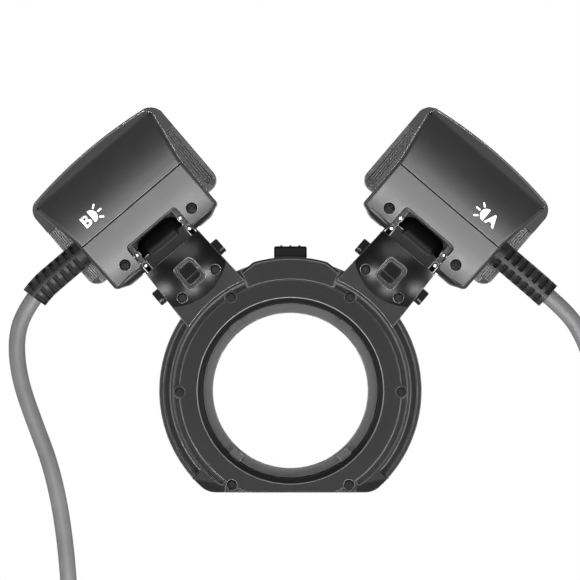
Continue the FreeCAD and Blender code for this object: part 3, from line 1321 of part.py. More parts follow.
def cord_relief(name):
    out = SIDES[name]
    length = RELIEF_STRAIGHT + RELIEF_CURVED
    start = point(out * (CASE_HALF_LOW - CASE_WALL - RELIEF_FLANGE - RELIEF_ROOT_GAP), RELIEF_Y, RELIEF_UP)
    bend_start = relief_frame(name, RELIEF_STRAIGHT)[0]
    middle = relief_frame(name, RELIEF_STRAIGHT + RELIEF_CURVED / 2)[0]
    end = relief_frame(name, length)[0]
    wire = Part.Wire([
        Part.LineSegment(start, bend_start).toShape(),
        Part.Arc(bend_start, middle, end).toShape(),
    ])
    body = swept(wire, RELIEF_R, start, point(out, 0, 0))
    inner = CASE_HALF_LOW - CASE_WALL - RELIEF_ROOT_GAP
    flange_x = sorted((out * (inner - RELIEF_FLANGE), out * inner))
    flange = rod_x(RELIEF_FLANGE_R, *flange_x, RELIEF_Y, RELIEF_UP)
    slots = []
    for row, row_angle in enumerate(RELIEF_ROWS):
        for n in range(RELIEF_SLOTS):
            along = RELIEF_FIRST_SLOT + n * RELIEF_PITCH + (row % 2) * RELIEF_PITCH / 2
            if along + RELIEF_SLOT < length:
                slots.append(relief_slot(name, along, row_angle))
    return joined([body, flange]).cut(slots[0].multiFuse(slots[1:]))


def relief_slot(name, along, row_angle):
    centre, direction, normal = relief_frame(name, along)
    half = RELIEF_SLOT_WIDE / 2
    floor = RELIEF_R - RELIEF_SLOT_DEPTH
    slot = Part.makeBox(RELIEF_SLOT, RELIEF_SLOT_WIDE, RELIEF_R, point(0, -half, floor))
    matrix = FreeCAD.Matrix()
    binormal = normal.cross(direction)
    angle = math.radians(row_angle)
    up = normal * math.cos(angle) + binormal * math.sin(angle)
    across = up.cross(direction)
    matrix.A11, matrix.A21, matrix.A31 = direction.x, direction.y, direction.z
    matrix.A12, matrix.A22, matrix.A32 = across.x, across.y, across.z
    matrix.A13, matrix.A23, matrix.A33 = up.x, up.y, up.z
    matrix.A14, matrix.A24, matrix.A34 = centre.x, centre.y, centre.z
    slot.Placement = FreeCAD.Placement(matrix)
    return slot


def swept(wire, radius, start, direction):
    """A round solid along a wire."""
    circle = Part.Wire(Part.Circle(start, direction, radius).toShape())
    pipe = Part.BRepOffsetAPI.MakePipeShell(wire)
    pipe.add(circle)
    pipe.build()
    pipe.makeSolid()
    return pipe.shape()


# Cords and plugs


def head_to_ring(name, place):
    """A point of the head's own frame, in the ring's frame."""
    angle = math.radians(SIDES[name] * HEAD_ANGLE)
    radius = HINGE_R + place.z
    x = place.x * math.cos(angle) + radius * math.sin(angle)
    z = -place.x * math.sin(angle) + radius * math.cos(angle)
    return point(x, place.y, z)


def cord_points(name):
    start = head_to_ring(name, relief_frame(name, RELIEF_STRAIGHT + RELIEF_CURVED)[0])
    return [start] + [point(*place) for place in CORD_ROUTES[name]]


def cord(name):
    """Straight runs joined by tangent arcs, each as large as its two runs allow."""
    points = cord_points(name)
    edges = []
    radii = []
    place = points[0]
    for before, corner, after in zip(points, points[1:], points[2:]):
        run_in = corner - before
        run_out = after - corner
        setback = CORD_CORNER_SHARE * min(run_in.Length, run_out.Length)
        half_turn = run_in.getAngle(run_out) / 2
        radius = setback / math.tan(half_turn)
        run_in.normalize()
        run_out.normalize()
        arc_start = corner - run_in * setback
        arc_end = corner + run_out * setback
        inward = run_out - run_in
        inward.normalize()
        arc_middle = corner + inward * (radius / math.cos(half_turn) - radius)
        edges.append(Part.LineSegment(place, arc_start).toShape())
        edges.append(Part.Arc(arc_start, arc_middle, arc_end).toShape())
        radii.append(radius)
        place = arc_end
    edges.append(Part.LineSegment(place, points[-1]).toShape())
    wire = Part.Wire(edges)
    length = wire.Length
    solid = swept(wire, CORD_D / 2, points[0], points[1] - points[0])
    expected = math.pi * (CORD_D / 2) ** 2 * length
    print(f"{name} cord: length {length:.1f}, volume ratio {solid.Volume / expected:.4f}, radii",
          " ".join(f"{r:.0f}" for r in radii))
    return solid


def plug(name):
    """Round locking plug at the cord's end, along the cord's last run."""
    points = cord_points(name)
    along = points[-1] - points[-2]
    along.normalize()
    body_end = PLUG_BOOT + PLUG_BODY
    collar_end = body_end + PLUG_COLLAR
    end = collar_end + PLUG_NOSE
    cord_r = CORD_D / 2
    outline = [
        (0, 0),
        (cord_r + 0.6, 0),
        (PLUG_BODY_R - 1.2, PLUG_BOOT),
        (PLUG_BODY_R, PLUG_BOOT + 0.8),
        (PLUG_BODY_R, body_end),
        (PLUG_COLLAR_R, body_end + 0.8),
        (PLUG_COLLAR_R, collar_end - 0.8),
        (PLUG_NOSE_R, collar_end),
        (PLUG_NOSE_R, end),
        (PLUG_NOSE_BORE_R, end),
        (PLUG_NOSE_BORE_R, end - PLUG_NOSE_BORE),
        (0, end - PLUG_NOSE_BORE),
    ]
    shape = revolved(outline)
    for n in range(PLUG_PINS):
        angle = 2 * math.pi * n / PLUG_PINS
        x = PLUG_PIN_CIRCLE_R * math.cos(angle)
        z = PLUG_PIN_CIRCLE_R * math.sin(angle)
        shape = shape.fuse(rod_y(PLUG_PIN_R, end - PLUG_NOSE_BORE - 0.5, end - 1, x, z))
    shape.Placement = FreeCAD.Placement(points[-1], FreeCAD.Rotation(Y_AXIS, along))
    return shape


def holder_parts(name):
    out = SIDES[name]
    return {
        "holder_cover": holder_cover(),
        "holder_frame": holder_frame(),
        "holder_screws": holder_screws(),
        "hinge_pin": hinge_pin(),
        "index_plunger": index_plunger(),
        "latch_button": latch_button(),
        "latch_spring": latch_spring(),
        "inner_button": side_button(-out),
        "outer_button": side_button(out),
        "side_springs": side_springs(),
    }


def head_parts(name):
    out = SIDES[name]
    return {
        "rear_shell": rear_shell(out),
        "lower_cover": lower_cover(out),
        "case_screws": case_screws(),
        "hinge_saddle": hinge_saddle(),
        "front_case": front_case(),
        "front_window": front_window(),
        "reflector": reflector(),
        "flash_tube": flash_tube(),
        "focus_lamp": focus_lamp(),
        "circuit_board": circuit_board(),
        "trigger_coil": trigger_coil(),
        "cord_relief": cord_relief(name),
    }


def ring_parts():
    return {
        "ring_body": ring_body(),
        "rear_plate": rear_plate(),
        "front_ring": front_ring(),
        "plate_screws": plate_screws(),
        "release_button": release_button(),
        "release_yoke": release_yoke(),
        "release_spring": release_spring(),
        "upper_hook_left": upper_hook(-1),
        "upper_hook_right": upper_hook(1),
        "lower_hooks": lower_hooks(),
        "index_racks": index_racks(),
    }


def main():
    os.makedirs("parts", exist_ok=True)
    parts = ring_parts()
    for name, side in SIDES.items():
        head = head_parts(name)
        for shape in head.values():
            shape.translate(point(0, 0, HINGE_R))
        for node, shape in {**holder_parts(name), **head}.items():
            parts[f"{name}_{node}"] = turned(shape, side * HEAD_ANGLE)
        parts[f"{name}_cord"] = cord(name)
        parts[f"{name}_plug"] = plug(name)
    for node, shape in parts.items():
        if not shape.isValid():
            print("not valid:", node)
        shape.exportStep(f"parts/{node}.step")
    print(len(parts), "nodes")


main()
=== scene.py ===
import json
import logging
import math
from collections.abc import Iterator
from contextlib import contextmanager
from dataclasses import dataclass
from enum import Enum
from functools import cache

import bmesh
import bpy
from mathutils import Matrix, Vector
from mathutils.bvhtree import BVHTree
from mathutils.interpolate import poly_3d_calc

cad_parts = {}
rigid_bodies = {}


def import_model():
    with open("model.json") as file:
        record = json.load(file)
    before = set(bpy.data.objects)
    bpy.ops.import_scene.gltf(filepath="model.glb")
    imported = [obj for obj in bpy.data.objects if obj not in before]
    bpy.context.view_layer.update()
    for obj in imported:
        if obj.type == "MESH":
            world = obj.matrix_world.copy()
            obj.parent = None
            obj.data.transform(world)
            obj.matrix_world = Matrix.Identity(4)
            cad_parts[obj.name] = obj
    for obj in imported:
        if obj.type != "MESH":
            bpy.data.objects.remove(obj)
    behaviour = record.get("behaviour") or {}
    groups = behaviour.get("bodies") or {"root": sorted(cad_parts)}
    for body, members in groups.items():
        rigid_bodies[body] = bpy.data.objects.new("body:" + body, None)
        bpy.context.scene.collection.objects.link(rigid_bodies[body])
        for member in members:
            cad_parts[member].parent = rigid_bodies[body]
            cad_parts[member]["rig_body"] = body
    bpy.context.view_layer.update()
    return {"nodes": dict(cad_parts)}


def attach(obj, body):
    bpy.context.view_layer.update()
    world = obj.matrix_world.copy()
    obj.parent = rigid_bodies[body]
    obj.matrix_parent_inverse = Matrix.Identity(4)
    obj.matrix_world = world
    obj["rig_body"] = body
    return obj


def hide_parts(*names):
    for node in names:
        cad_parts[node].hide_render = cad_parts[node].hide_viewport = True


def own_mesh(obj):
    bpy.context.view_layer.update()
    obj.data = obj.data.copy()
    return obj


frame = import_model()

# Looks of the macro twin flash. The row frame is in metres. A head and its holder are described
# in a frame of their own, in millimetres: t along the hinge, y along the lens axis, r away from it.

MM = 0.001
SCALE = Matrix.Scale(MM, 4)
HEAD_ANGLE = 40.5
SHARP_EDGE = "bevel_weight_edge"
SOFT_EDGE = "soft_edge"
SOFT_TURN = (math.radians(22), math.radians(62))
SHARP_TURN = math.radians(32)
SHADED_TURN = 0.7  # the share of an edge's turn that its shading has where it is a real edge
STAND_OFF = 1.3  # how far a rounded corner may stand off the shape, in roundings
MERGE = 0.000002
SMOOTH_ANGLE = 34.0
PLUG_ANGLE = 40.0
COLOUR_MIX = (0, 6, 7)  # the colour inputs of a mixing node
FACE_ORDER = Vector((1.0, 0.37, 0.83))  # a line along which no two faces of a mark lie level
ORIGIN = (Vector((0.0, 0.0, 0.0)),)
TO_LENS = Matrix.Rotation(-math.pi / 2, 4, "X")
LOG = logging.getLogger("scene")

Place = Colour = tuple[float, float, float]
Outline = list[tuple[float, float]]
Form = bmesh.types.BMesh
Piece = bpy.types.Object
Socket = bpy.types.NodeSocket
Material = bpy.types.Material


class Side(Enum):
    """The two sides of the ring, as the photographer sees them."""

    LEFT = -1
    RIGHT = 1

    def node(self, part: str) -> str:
        """The CAD node's name of a part on this side."""
        return f"{self.name.lower()}_{part}"

    @property
    def matrix(self) -> Matrix:
        """From the side's own frame in millimetres to the row frame in metres."""
        return Matrix.Rotation(math.radians(self.value * HEAD_ANGLE), 4, "Y") @ SCALE


class Slot(Enum):
    """The record's material slots."""

    RING = "ring_plastic"
    PLATE = "plate_metal"
    FRONT = "front_metal"
    SCREW = "screw_steel"
    BUTTON = "button_plastic"
    HOOK = "hook_steel"
    SPRING = "spring_steel"
    RACK = "rack_brass"
    COVER = "holder_gloss"
    FRAME = "holder_black"
    PIN = "pin_steel"
    HEAD = "head_plastic"
    SADDLE = "saddle_metal"
    WINDOW = "window_clear"
    REFLECTOR = "reflector_bright"
    TUBE = "tube_glass"
    LAMP = "lamp_clear"
    BOARD = "board_green"
    COIL = "coil_copper"
    RELIEF = "relief_rubber"
    CORD = "cord_rubber"
    PLUG = "plug_black"


# Finishes


class Tree:
    """A node tree while it is put together."""

    def __init__(self, tree: bpy.types.NodeTree) -> None:
        """Empties a tree."""
        self.tree = tree
        tree.nodes.clear()

    def feed(self, value: object, socket: Socket) -> None:
        """Links a socket to an input, or sets the input to a constant.

        Args:
            value: an output, or a constant.
            socket: the input.
        """
        if isinstance(value, bpy.types.NodeSocket):
            self.tree.links.new(value, socket)
        else:
            socket.default_value = value

    def add(self, kind: str, **values: object) -> bpy.types.Node:
        """Adds a node.

        Args:
            kind: the node's type.
            values: its properties, in lower case, and its inputs by name with _ for a space.

        Returns:
            The node.
        """
        node = self.tree.nodes.new(kind)
        for key, value in values.items():
            if key[0].islower():
                setattr(node, key, value)
        for key, value in values.items():
            if key[0].isupper():
                name = key.replace("_", " ")
                self.feed(value, next(s for s in node.inputs if s.name == name and s.enabled))
        return node

    def maths(self, operation: str, first: object, second: object) -> Socket:
        """One sum of two numbers or outputs.

        Args:
            operation: the sum's kind.
            first: the first number or output.
            second: the second one.

        Returns:
            The result.
        """
        node = self.add("ShaderNodeMath", operation=operation)
        self.feed(first, node.inputs[0])
        self.feed(second, node.inputs[1])
        return node.outputs[0]

    def span(self, source: Socket, low: float, high: float, start: float = 0.0, end: float = 1.0) -> Socket:
        """Maps a pattern's stretch from low to high to the stretch from start to end."""
        return self.add("ShaderNodeMapRange", Value=source, From_Min=low, From_Max=high, To_Min=start,
                        To_Max=end).outputs[0]

    def seen(self) -> tuple[Socket, Socket]:
        """Tells how a ray came.

        Returns:
            Whether it comes from the camera or through glass, and whether it is a mirrored one.
        """
        rays = self.add("ShaderNodeLightPath").outputs
        direct = self.maths("MAXIMUM", rays["Is Camera Ray"], rays["Is Transmission Ray"])
        return direct, rays["Is Glossy Ray"]


class Sheet(Tree):
    """A material's node tree, whose patterns read the piece's own place."""

    def __init__(self, name: str) -> None:
        """Starts a material with a surface shader and its output.

        Args:
            name: the material's name.
        """
        self.material = bpy.data.materials.new(name)
        self.material.use_nodes = True
        super().__init__(self.material.node_tree)
        self.surface = self.add("ShaderNodeOutputMaterial").inputs[0]
        self.shader = self.add("ShaderNodeBsdfPrincipled")
        self.feed(self.shader.outputs[0], self.surface)
        self.place = self.add("ShaderNodeTexCoord").outputs["Object"]

    def set(self, **values: object) -> None:
        """Sets or links the surface shader's inputs, by name with _ for a space."""
        for key, value in values.items():
            self.feed(value, self.shader.inputs[key.replace("_", " ")])

    def noise(self, scale: float, detail: float = 3.0, stretch: Colour = (1.0, 1.0, 1.0)) -> Socket:
        """Cloudy noise with so many features to a metre, drawn out where the stretch is small."""
        place = self.add("ShaderNodeMapping", Vector=self.place, Scale=stretch).outputs[0]
        return self.add("ShaderNodeTexNoise", Vector=place, Scale=scale, Detail=detail).outputs[0]

    def cells(self, scale: float) -> Socket:
        """The distance to the nearest point of a cell pattern, as on grained mouldings."""
        return self.add("ShaderNodeTexVoronoi", Vector=self.place, Scale=scale).outputs["Distance"]

    def mix(self, share: Socket, first: object, second: object) -> Socket:
        """Mixes two colours.

        Args:
            share: how much of the second one there is.
            first: a colour or an output.
            second: the other one.

        Returns:
            The mixed colour.
        """
        node = self.add("ShaderNodeMix", data_type="RGBA")
        for place, value in zip(COLOUR_MIX, (share, first, second)):
            self.feed((*value, 1.0) if isinstance(value, tuple) else value, node.inputs[place])
        return node.outputs[2]

    def tints(self, pattern: Socket, colour: Colour, dark: float, light: float, low: float = 0.3,
              high: float = 0.7) -> Socket:
        """Mixes two tints of a colour, the first where a pattern is low and the second where it is high."""
        return self.mix(self.span(pattern, low, high), tinted(colour, dark), tinted(colour, light))

    def bump(self, height: Socket, depth: float, strength: float) -> None:
        """Adds a relief on top of the ones before it.

        Args:
            height: the pattern.
            depth: its depth in metres.
            strength: how much of it shows.
        """
        normal = self.shader.inputs["Normal"]
        before = {"Normal": link.from_socket for link in normal.links}
        node = self.add("ShaderNodeBump", Strength=strength, Distance=depth, Height=height, **before)
        self.feed(node.outputs[0], normal)


def tinted(colour: Colour, factor: float) -> Colour:
    """A colour made lighter or darker by a factor."""
    return tuple(min(1.0, channel * factor) for channel in colour)


class Finish:
    """What every finish can do."""

    def build(self, name: str) -> Material:
        """Makes the material.

        Args:
            name: the material's name.

        Returns:
            The finished material.
        """
        sheet = Sheet(name)
        self.lay(sheet)
        return sheet.material

    def lay(self, sheet: Sheet) -> None:
        """Lays the finish on an empty sheet."""
        raise NotImplementedError


@dataclass(frozen=True)
class MouldedPlastic(Finish):
    """Grained moulded plastic with slight handling marks."""

    colour: Colour
    roughness: float
    gloss: float
    depth: float = 0.000022
    grain: float = 2600.0

    def lay(self, sheet: Sheet) -> None:
        """Lays a mottled ground with pale specks, under a grain.

        Args:
            sheet: the empty sheet.
        """
        ground = sheet.tints(sheet.noise(38.0), self.colour, 0.94, 1.06)
        specks = sheet.span(sheet.noise(2100.0, 2.0), 0.55, 0.75, 0.0, 0.55)
        worn = sheet.span(sheet.noise(160.0), 0.3, 0.75, self.roughness - 0.025, self.roughness + 0.03)
        sheet.set(Base_Color=sheet.mix(specks, ground, tinted(self.colour, 1.45)), Roughness=worn,
                  Specular_IOR_Level=self.gloss)
        sheet.bump(sheet.cells(self.grain), self.depth, 0.7)
        sheet.bump(sheet.noise(self.grain * 0.4, 2.0), self.depth, 0.5)


@dataclass(frozen=True)
class CoatedMetal(Finish):
    """Metal under a thin matt coat with a faint sparkle."""

    colour: Colour
    roughness: float
    gloss: float
    metal: float
    sparkle: float

    def lay(self, sheet: Sheet) -> None:
        """Lays an uneven coat with small bright flecks.

        Args:
            sheet: the empty sheet.
        """
        ground = sheet.tints(sheet.noise(55.0), self.colour, 0.92, 1.1)
        flecks = sheet.span(sheet.noise(4200.0, 1.0), 0.62, 0.74)
        rough = sheet.span(sheet.noise(700.0), 0.3, 0.7, self.roughness - 0.02, self.roughness + 0.03)
        sheet.set(Base_Color=sheet.mix(flecks, ground, tinted(self.colour, self.sparkle)), Roughness=rough,
                  Specular_IOR_Level=self.gloss, Metallic=self.metal)
        sheet.bump(sheet.noise(3400.0, 2.0), 0.000012, 0.6)


@dataclass(frozen=True)
class DrawnMetal(Finish):
    """Bare metal with fine drawing lines along one axis, or none where the stretch is even."""

    colour: Colour
    roughness: float
    stretch: Colour = (1.0, 1.0, 1.0)

    def lay(self, sheet: Sheet) -> None:
        """Lays the lines in the colour and the relief.

        Args:
            sheet: the empty sheet.
        """
        lines = sheet.noise(5200.0, 2.0, self.stretch)
        rough = sheet.span(sheet.noise(300.0), 0.3, 0.7, self.roughness - 0.05, self.roughness + 0.08)
        sheet.set(Base_Color=sheet.tints(lines, self.colour, 0.82, 1.12), Roughness=rough, Metallic=1.0)
        sheet.bump(lines, 0.000006, 0.5)


@dataclass(frozen=True)
class SoftRubber(Finish):
    """Matt rubber with a dusty bloom and a fine skin."""

    colour: Colour
    roughness: float
    gloss: float
    bloom: float

    def lay(self, sheet: Sheet) -> None:
        """Lays the bloom over a fine and a coarse unevenness.

        Args:
            sheet: the empty sheet.
        """
        rough = sheet.span(sheet.noise(900.0), 0.3, 0.7, self.roughness - 0.06, self.roughness + 0.06)
        sheet.set(Base_Color=sheet.tints(sheet.noise(90.0, 4.0), self.colour, 0.9, self.bloom, 0.35),
                  Roughness=rough, Specular_IOR_Level=self.gloss)
        sheet.bump(sheet.noise(2600.0), 0.00002, 0.6)
        sheet.bump(sheet.noise(240.0, 2.0), 0.00006, 0.5)


@dataclass(frozen=True)
class ClearMoulding(Finish):
    """See-through plastic or glass with a slightly uneven skin."""

    colour: Colour
    roughness: float
    bending: float

    def lay(self, sheet: Sheet) -> None:
        """Lays a faint tint and a nearly even skin.

        Args:
            sheet: the empty sheet.
        """
        rough = sheet.span(sheet.noise(500.0), 0.3, 0.7, self.roughness, self.roughness + 0.05)
        sheet.set(Base_Color=sheet.tints(sheet.noise(70.0), self.colour, 1.0, 0.96), Roughness=rough,
                  Transmission_Weight=1.0, IOR=self.bending)
        sheet.bump(sheet.noise(420.0, 1.0), 0.000004, 0.4)


@dataclass(frozen=True)
class BoardLacquer(Finish):
    """Green lacquer over copper tracks, with tinned pads."""

    lacquer: Colour = (0.012, 0.085, 0.035)
    track: Colour = (0.03, 0.17, 0.07)
    pad: Colour = (0.62, 0.6, 0.52)

    def lay(self, sheet: Sheet) -> None:
        """Lays the tracks as the joints of a brick pattern, and the pads as round cells.

        Args:
            sheet: the empty sheet.
        """
        turned = sheet.add("ShaderNodeMapping", Vector=sheet.place, Rotation=(math.pi / 2, 0.0, 0.0))
        bricks = sheet.add("ShaderNodeTexBrick", Vector=turned.outputs[0], Scale=420.0,
                           Color1=(0.0, 0.0, 0.0, 1.0), Color2=(0.35, 0.35, 0.35, 1.0),
                           Mortar=(1.0, 1.0, 1.0, 1.0)).outputs["Color"]
        pads = sheet.span(sheet.cells(360.0), 0.16, 0.2, 1.0, 0.0)
        sheet.set(Base_Color=sheet.mix(pads, sheet.mix(bricks, self.lacquer, self.track), self.pad),
                  Roughness=sheet.span(sheet.noise(500.0), 0.3, 0.7, 0.28, 0.4))
        sheet.bump(bricks, 0.00003, 0.5)


@dataclass(frozen=True)
class PrintedInk(Finish):
    """Thin opaque ink with a slightly uneven cover."""

    colour: Colour = (0.8, 0.8, 0.79)

    def lay(self, sheet: Sheet) -> None:
        """Lays the cover and its skin.

        Args:
            sheet: the empty sheet.
        """
        sheet.set(Base_Color=sheet.tints(sheet.noise(1500.0), self.colour, 0.86, 1.0, 0.25, 0.6),
                  Roughness=sheet.span(sheet.noise(900.0), 0.3, 0.7, 0.45, 0.6), Specular_IOR_Level=0.25)
        sheet.bump(sheet.noise(3000.0, 2.0), 0.00001, 0.5)


@dataclass(frozen=True)
class FloorPaper(Finish):
    """Pale paper, which is seen and mirrored as white in its far part, as the surroundings are."""

    fade: tuple[float, float] = (0.5, 1.3)

    def lay(self, sheet: Sheet) -> None:
        """Lays the paper's tone and the white that takes over with distance.

        Args:
            sheet: the empty sheet.
        """
        tone = sheet.span(sheet.noise(3.0, 2.0), 0.3, 0.7)
        sheet.set(Base_Color=sheet.mix(tone, (0.8, 0.8, 0.8), (0.83, 0.83, 0.83)),
                  Roughness=sheet.span(sheet.noise(60.0), 0.3, 0.7, 0.8, 0.9), Specular_IOR_Level=0.1)
        reach = sheet.add("ShaderNodeVectorMath", operation="LENGTH", Vector=sheet.place).outputs["Value"]
        share = sheet.maths("MULTIPLY", sheet.maths("MAXIMUM", *sheet.seen()), sheet.span(reach, *self.fade))
        blend = sheet.add("ShaderNodeMixShader")
        white = sheet.add("ShaderNodeEmission")
        for value, socket in zip((share, sheet.shader.outputs[0], white.outputs[0]), blend.inputs):
            sheet.feed(value, socket)
        sheet.feed(blend.outputs[0], sheet.surface)


class Palette:
    """The object's finishes, one material for each slot, made when first asked for."""

    finishes: dict[Slot, Finish] = {
        Slot.RING: MouldedPlastic((0.004, 0.004, 0.0041), 0.47, 0.095),
        Slot.PLATE: CoatedMetal((0.004, 0.004, 0.0041), 0.48, 0.09, 0.05, 1.6),
        Slot.FRONT: CoatedMetal((0.006, 0.006, 0.0061), 0.36, 0.3, 0.25, 1.5),
        Slot.SCREW: CoatedMetal((0.0025, 0.0025, 0.0026), 0.29, 0.07, 0.2, 1.5),
        Slot.BUTTON: MouldedPlastic((0.002, 0.002, 0.0021), 0.3, 0.022, 0.000005),
        Slot.HOOK: CoatedMetal((0.006, 0.006, 0.0061), 0.34, 0.25, 0.3, 1.5),
        Slot.SPRING: DrawnMetal((0.5, 0.5, 0.5), 0.25),
        Slot.RACK: DrawnMetal((0.62, 0.46, 0.2), 0.3, (1.0, 0.08, 1.0)),
        Slot.COVER: MouldedPlastic((0.002, 0.002, 0.0021), 0.19, 0.055, 0.000003),
        Slot.FRAME: MouldedPlastic((0.002, 0.002, 0.0021), 0.3, 0.05, 0.000005),
        Slot.PIN: DrawnMetal((0.4, 0.4, 0.4), 0.28, (0.08, 1.0, 1.0)),
        Slot.HEAD: MouldedPlastic((0.003, 0.003, 0.0031), 0.41, 0.48, 0.00001),
        Slot.SADDLE: CoatedMetal((0.01, 0.01, 0.0102), 0.3, 0.25, 0.4, 1.4),
        Slot.WINDOW: ClearMoulding((0.96, 0.97, 0.98), 0.06, 1.49),
        Slot.REFLECTOR: DrawnMetal((0.86, 0.87, 0.88), 0.14, (0.06, 1.0, 1.0)),
        Slot.TUBE: ClearMoulding((0.95, 0.96, 1.0), 0.02, 1.47),
        Slot.LAMP: ClearMoulding((0.97, 0.95, 0.88), 0.05, 1.5),
        Slot.BOARD: BoardLacquer(),
        Slot.COIL: DrawnMetal((0.55, 0.24, 0.1), 0.26),
        Slot.RELIEF: SoftRubber((0.007, 0.007, 0.0072), 0.44, 0.2, 1.35),
        Slot.CORD: SoftRubber((0.072, 0.072, 0.0735), 0.46, 0.26, 1.12),
        Slot.PLUG: MouldedPlastic((0.01, 0.01, 0.0102), 0.4, 0.24),
    }

    # The painted highlight on each slot's sharp rounded edges, as a lighter tint of its colour, and the
    # edges' roughness.
    polish: dict[Slot, tuple[float, float]] = {
        Slot.HEAD: (4.0, 0.38), Slot.RING: (3.0, 0.4), Slot.PLATE: (4.0, 0.36), Slot.SADDLE: (3.0, 0.4),
        Slot.BUTTON: (5.0, 0.34),
    }
    usual_polish = (6.0, 0.24)

    def __init__(self) -> None:
        """Starts with no material made."""
        self.made: dict[str, Material] = {}

    def extra(self, name: str, finish: Finish) -> Material:
        """A material by name.

        Args:
            name: the material's name.
            finish: how it looks.

        Returns:
            The material, made once.
        """
        if name not in self.made:
            self.made[name] = finish.build(name)
        return self.made[name]

    def material(self, slot: Slot) -> Material:
        """The material of a slot."""
        return self.extra(slot.value, self.finishes[slot])

    def edge(self, slot: Slot) -> Material:
        """The material of a slot's rounded edges, with a painted highlight where it is black.

        Args:
            slot: the slot of the faces beside the edge.

        Returns:
            The material.
        """
        finish = self.finishes[slot]
        if not isinstance(finish, (MouldedPlastic, CoatedMetal)):
            return self.material(slot)
        tint, roughness = self.polish.get(slot, self.usual_polish)
        # A lighter tint of the colour paints a highlight along the edge; the lower roughness is the edge's
        # own.
        highlighted_finish = MouldedPlastic(tinted(finish.colour, tint), roughness, 0.8, 0.000002)
        return self.extra(f"{slot.value}_edge", highlighted_finish)


PALETTE = Palette()
BRIGHT_STEEL = DrawnMetal((0.8, 0.8, 0.8), 0.3)


# Meshes


def node_object(node: str) -> Piece:
    """The object of a CAD node."""
    return frame["nodes"][node]


def new_object(name: str, data: bpy.types.ID) -> Piece:
    """Adds an object to the scene, at the origin.

    Args:
        name: its name.
        data: its mesh, curve, lamp or camera.

    Returns:
        The object.
    """
    piece = bpy.data.objects.new(name, data)
    bpy.context.scene.collection.objects.link(piece)
    return piece


def formed(name: str, form: Form, matrix: Matrix = Matrix(), material: Material | None = None) -> Piece:
    """Turns a form into a piece with its faces outwards, and frees the form.

    Args:
        name: the piece's name.
        form: its shape.
        matrix: from the form's own frame to the row frame.
        material: its material, or None for a shape that isn't shown.

    Returns:
        The piece, at the origin, with its place in its mesh.
    """
    bmesh.ops.recalc_face_normals(form, faces=form.faces)
    mesh = bpy.data.meshes.new(name)
    form.to_mesh(mesh)
    form.free()
    mesh.transform(matrix)
    if material is not None:
        mesh.materials.append(material)
    return new_object(name, mesh)


def settle(piece: Piece) -> Piece:
    """Turns a piece with modifiers into a plain mesh without them.

    Args:
        piece: the piece.

    Returns:
        The same piece.
    """
    graph = bpy.context.evaluated_depsgraph_get()
    mesh = bpy.data.meshes.new_from_object(piece.evaluated_get(graph), depsgraph=graph)
    piece.modifiers.clear()
    old, piece.data = piece.data, mesh
    mesh.name = piece.name
    bpy.data.meshes.remove(old)
    return piece


def smooth(piece: Piece, angle: float) -> None:
    """Shades a piece smooth, with the edges past an angle in degrees kept sharp."""
    piece.data.shade_smooth()
    piece.data.set_sharp_from_angle(angle=math.radians(angle))


def seated(piece: Piece, node: str, stands: bool = True) -> Piece:
    """Makes a piece ride on the body of a CAD node.

    Args:
        piece: the piece, in its place.
        node: the CAD node.
        stands: whether the piece stands for the node.

    Returns:
        The same piece.
    """
    body = node_object(node)["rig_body"]
    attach(piece, body)
    if stands:
        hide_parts(node)
    LOG.info("piece %s on %s", piece.name, body)
    return piece


def dressed_node(node: str, slot: Slot) -> None:
    """Gives a CAD node that stays its material.

    Args:
        node: the CAD node.
        slot: the material's slot.
    """
    item = node_object(node)
    if not item.material_slots:
        item.data.materials.append(None)
    for place in item.material_slots:
        place.material = PALETTE.material(slot)
    LOG.info("node %s kept as %s", node, slot.value)


def softened(piece: Piece, width: float, broad: float) -> None:
    """Rounds a piece's weighted edges a little, the soft ones more than the sharp ones.

    Args:
        piece: the piece, with a plain mesh.
        width: the sharp edges' rounding in millimetres.
        broad: the soft edges' rounding in millimetres, or 0 where it has none.
    """
    mesh = piece.data
    surface = BVHTree.FromPolygons([v.co for v in mesh.vertices], [f.vertices for f in mesh.polygons])
    rounds = [(SOFT_EDGE, broad, 4, 2)] if broad > 0 else []
    # The sharp roundings take the second material, which carries a painted highlight; the soft ones keep the
    # piece's own.
    for layer, size, segments, material in (*rounds, (SHARP_EDGE, width, 2, 1)):
        bevel = piece.modifiers.new(layer, "BEVEL")
        bevel.edge_weight = layer
        bevel.width = size * MM
        bevel.segments = segments
        bevel.limit_method = "WEIGHT"
        bevel.loop_slide = False
        bevel.use_clamp_overlap = False
        bevel.miter_outer = "MITER_ARC"
        bevel.material = material
    settle(piece)
    for vertex in piece.data.vertices:
        near, _, _, gap = surface.find_nearest(vertex.co)
        if gap > STAND_OFF * width * MM:
            vertex.co = near


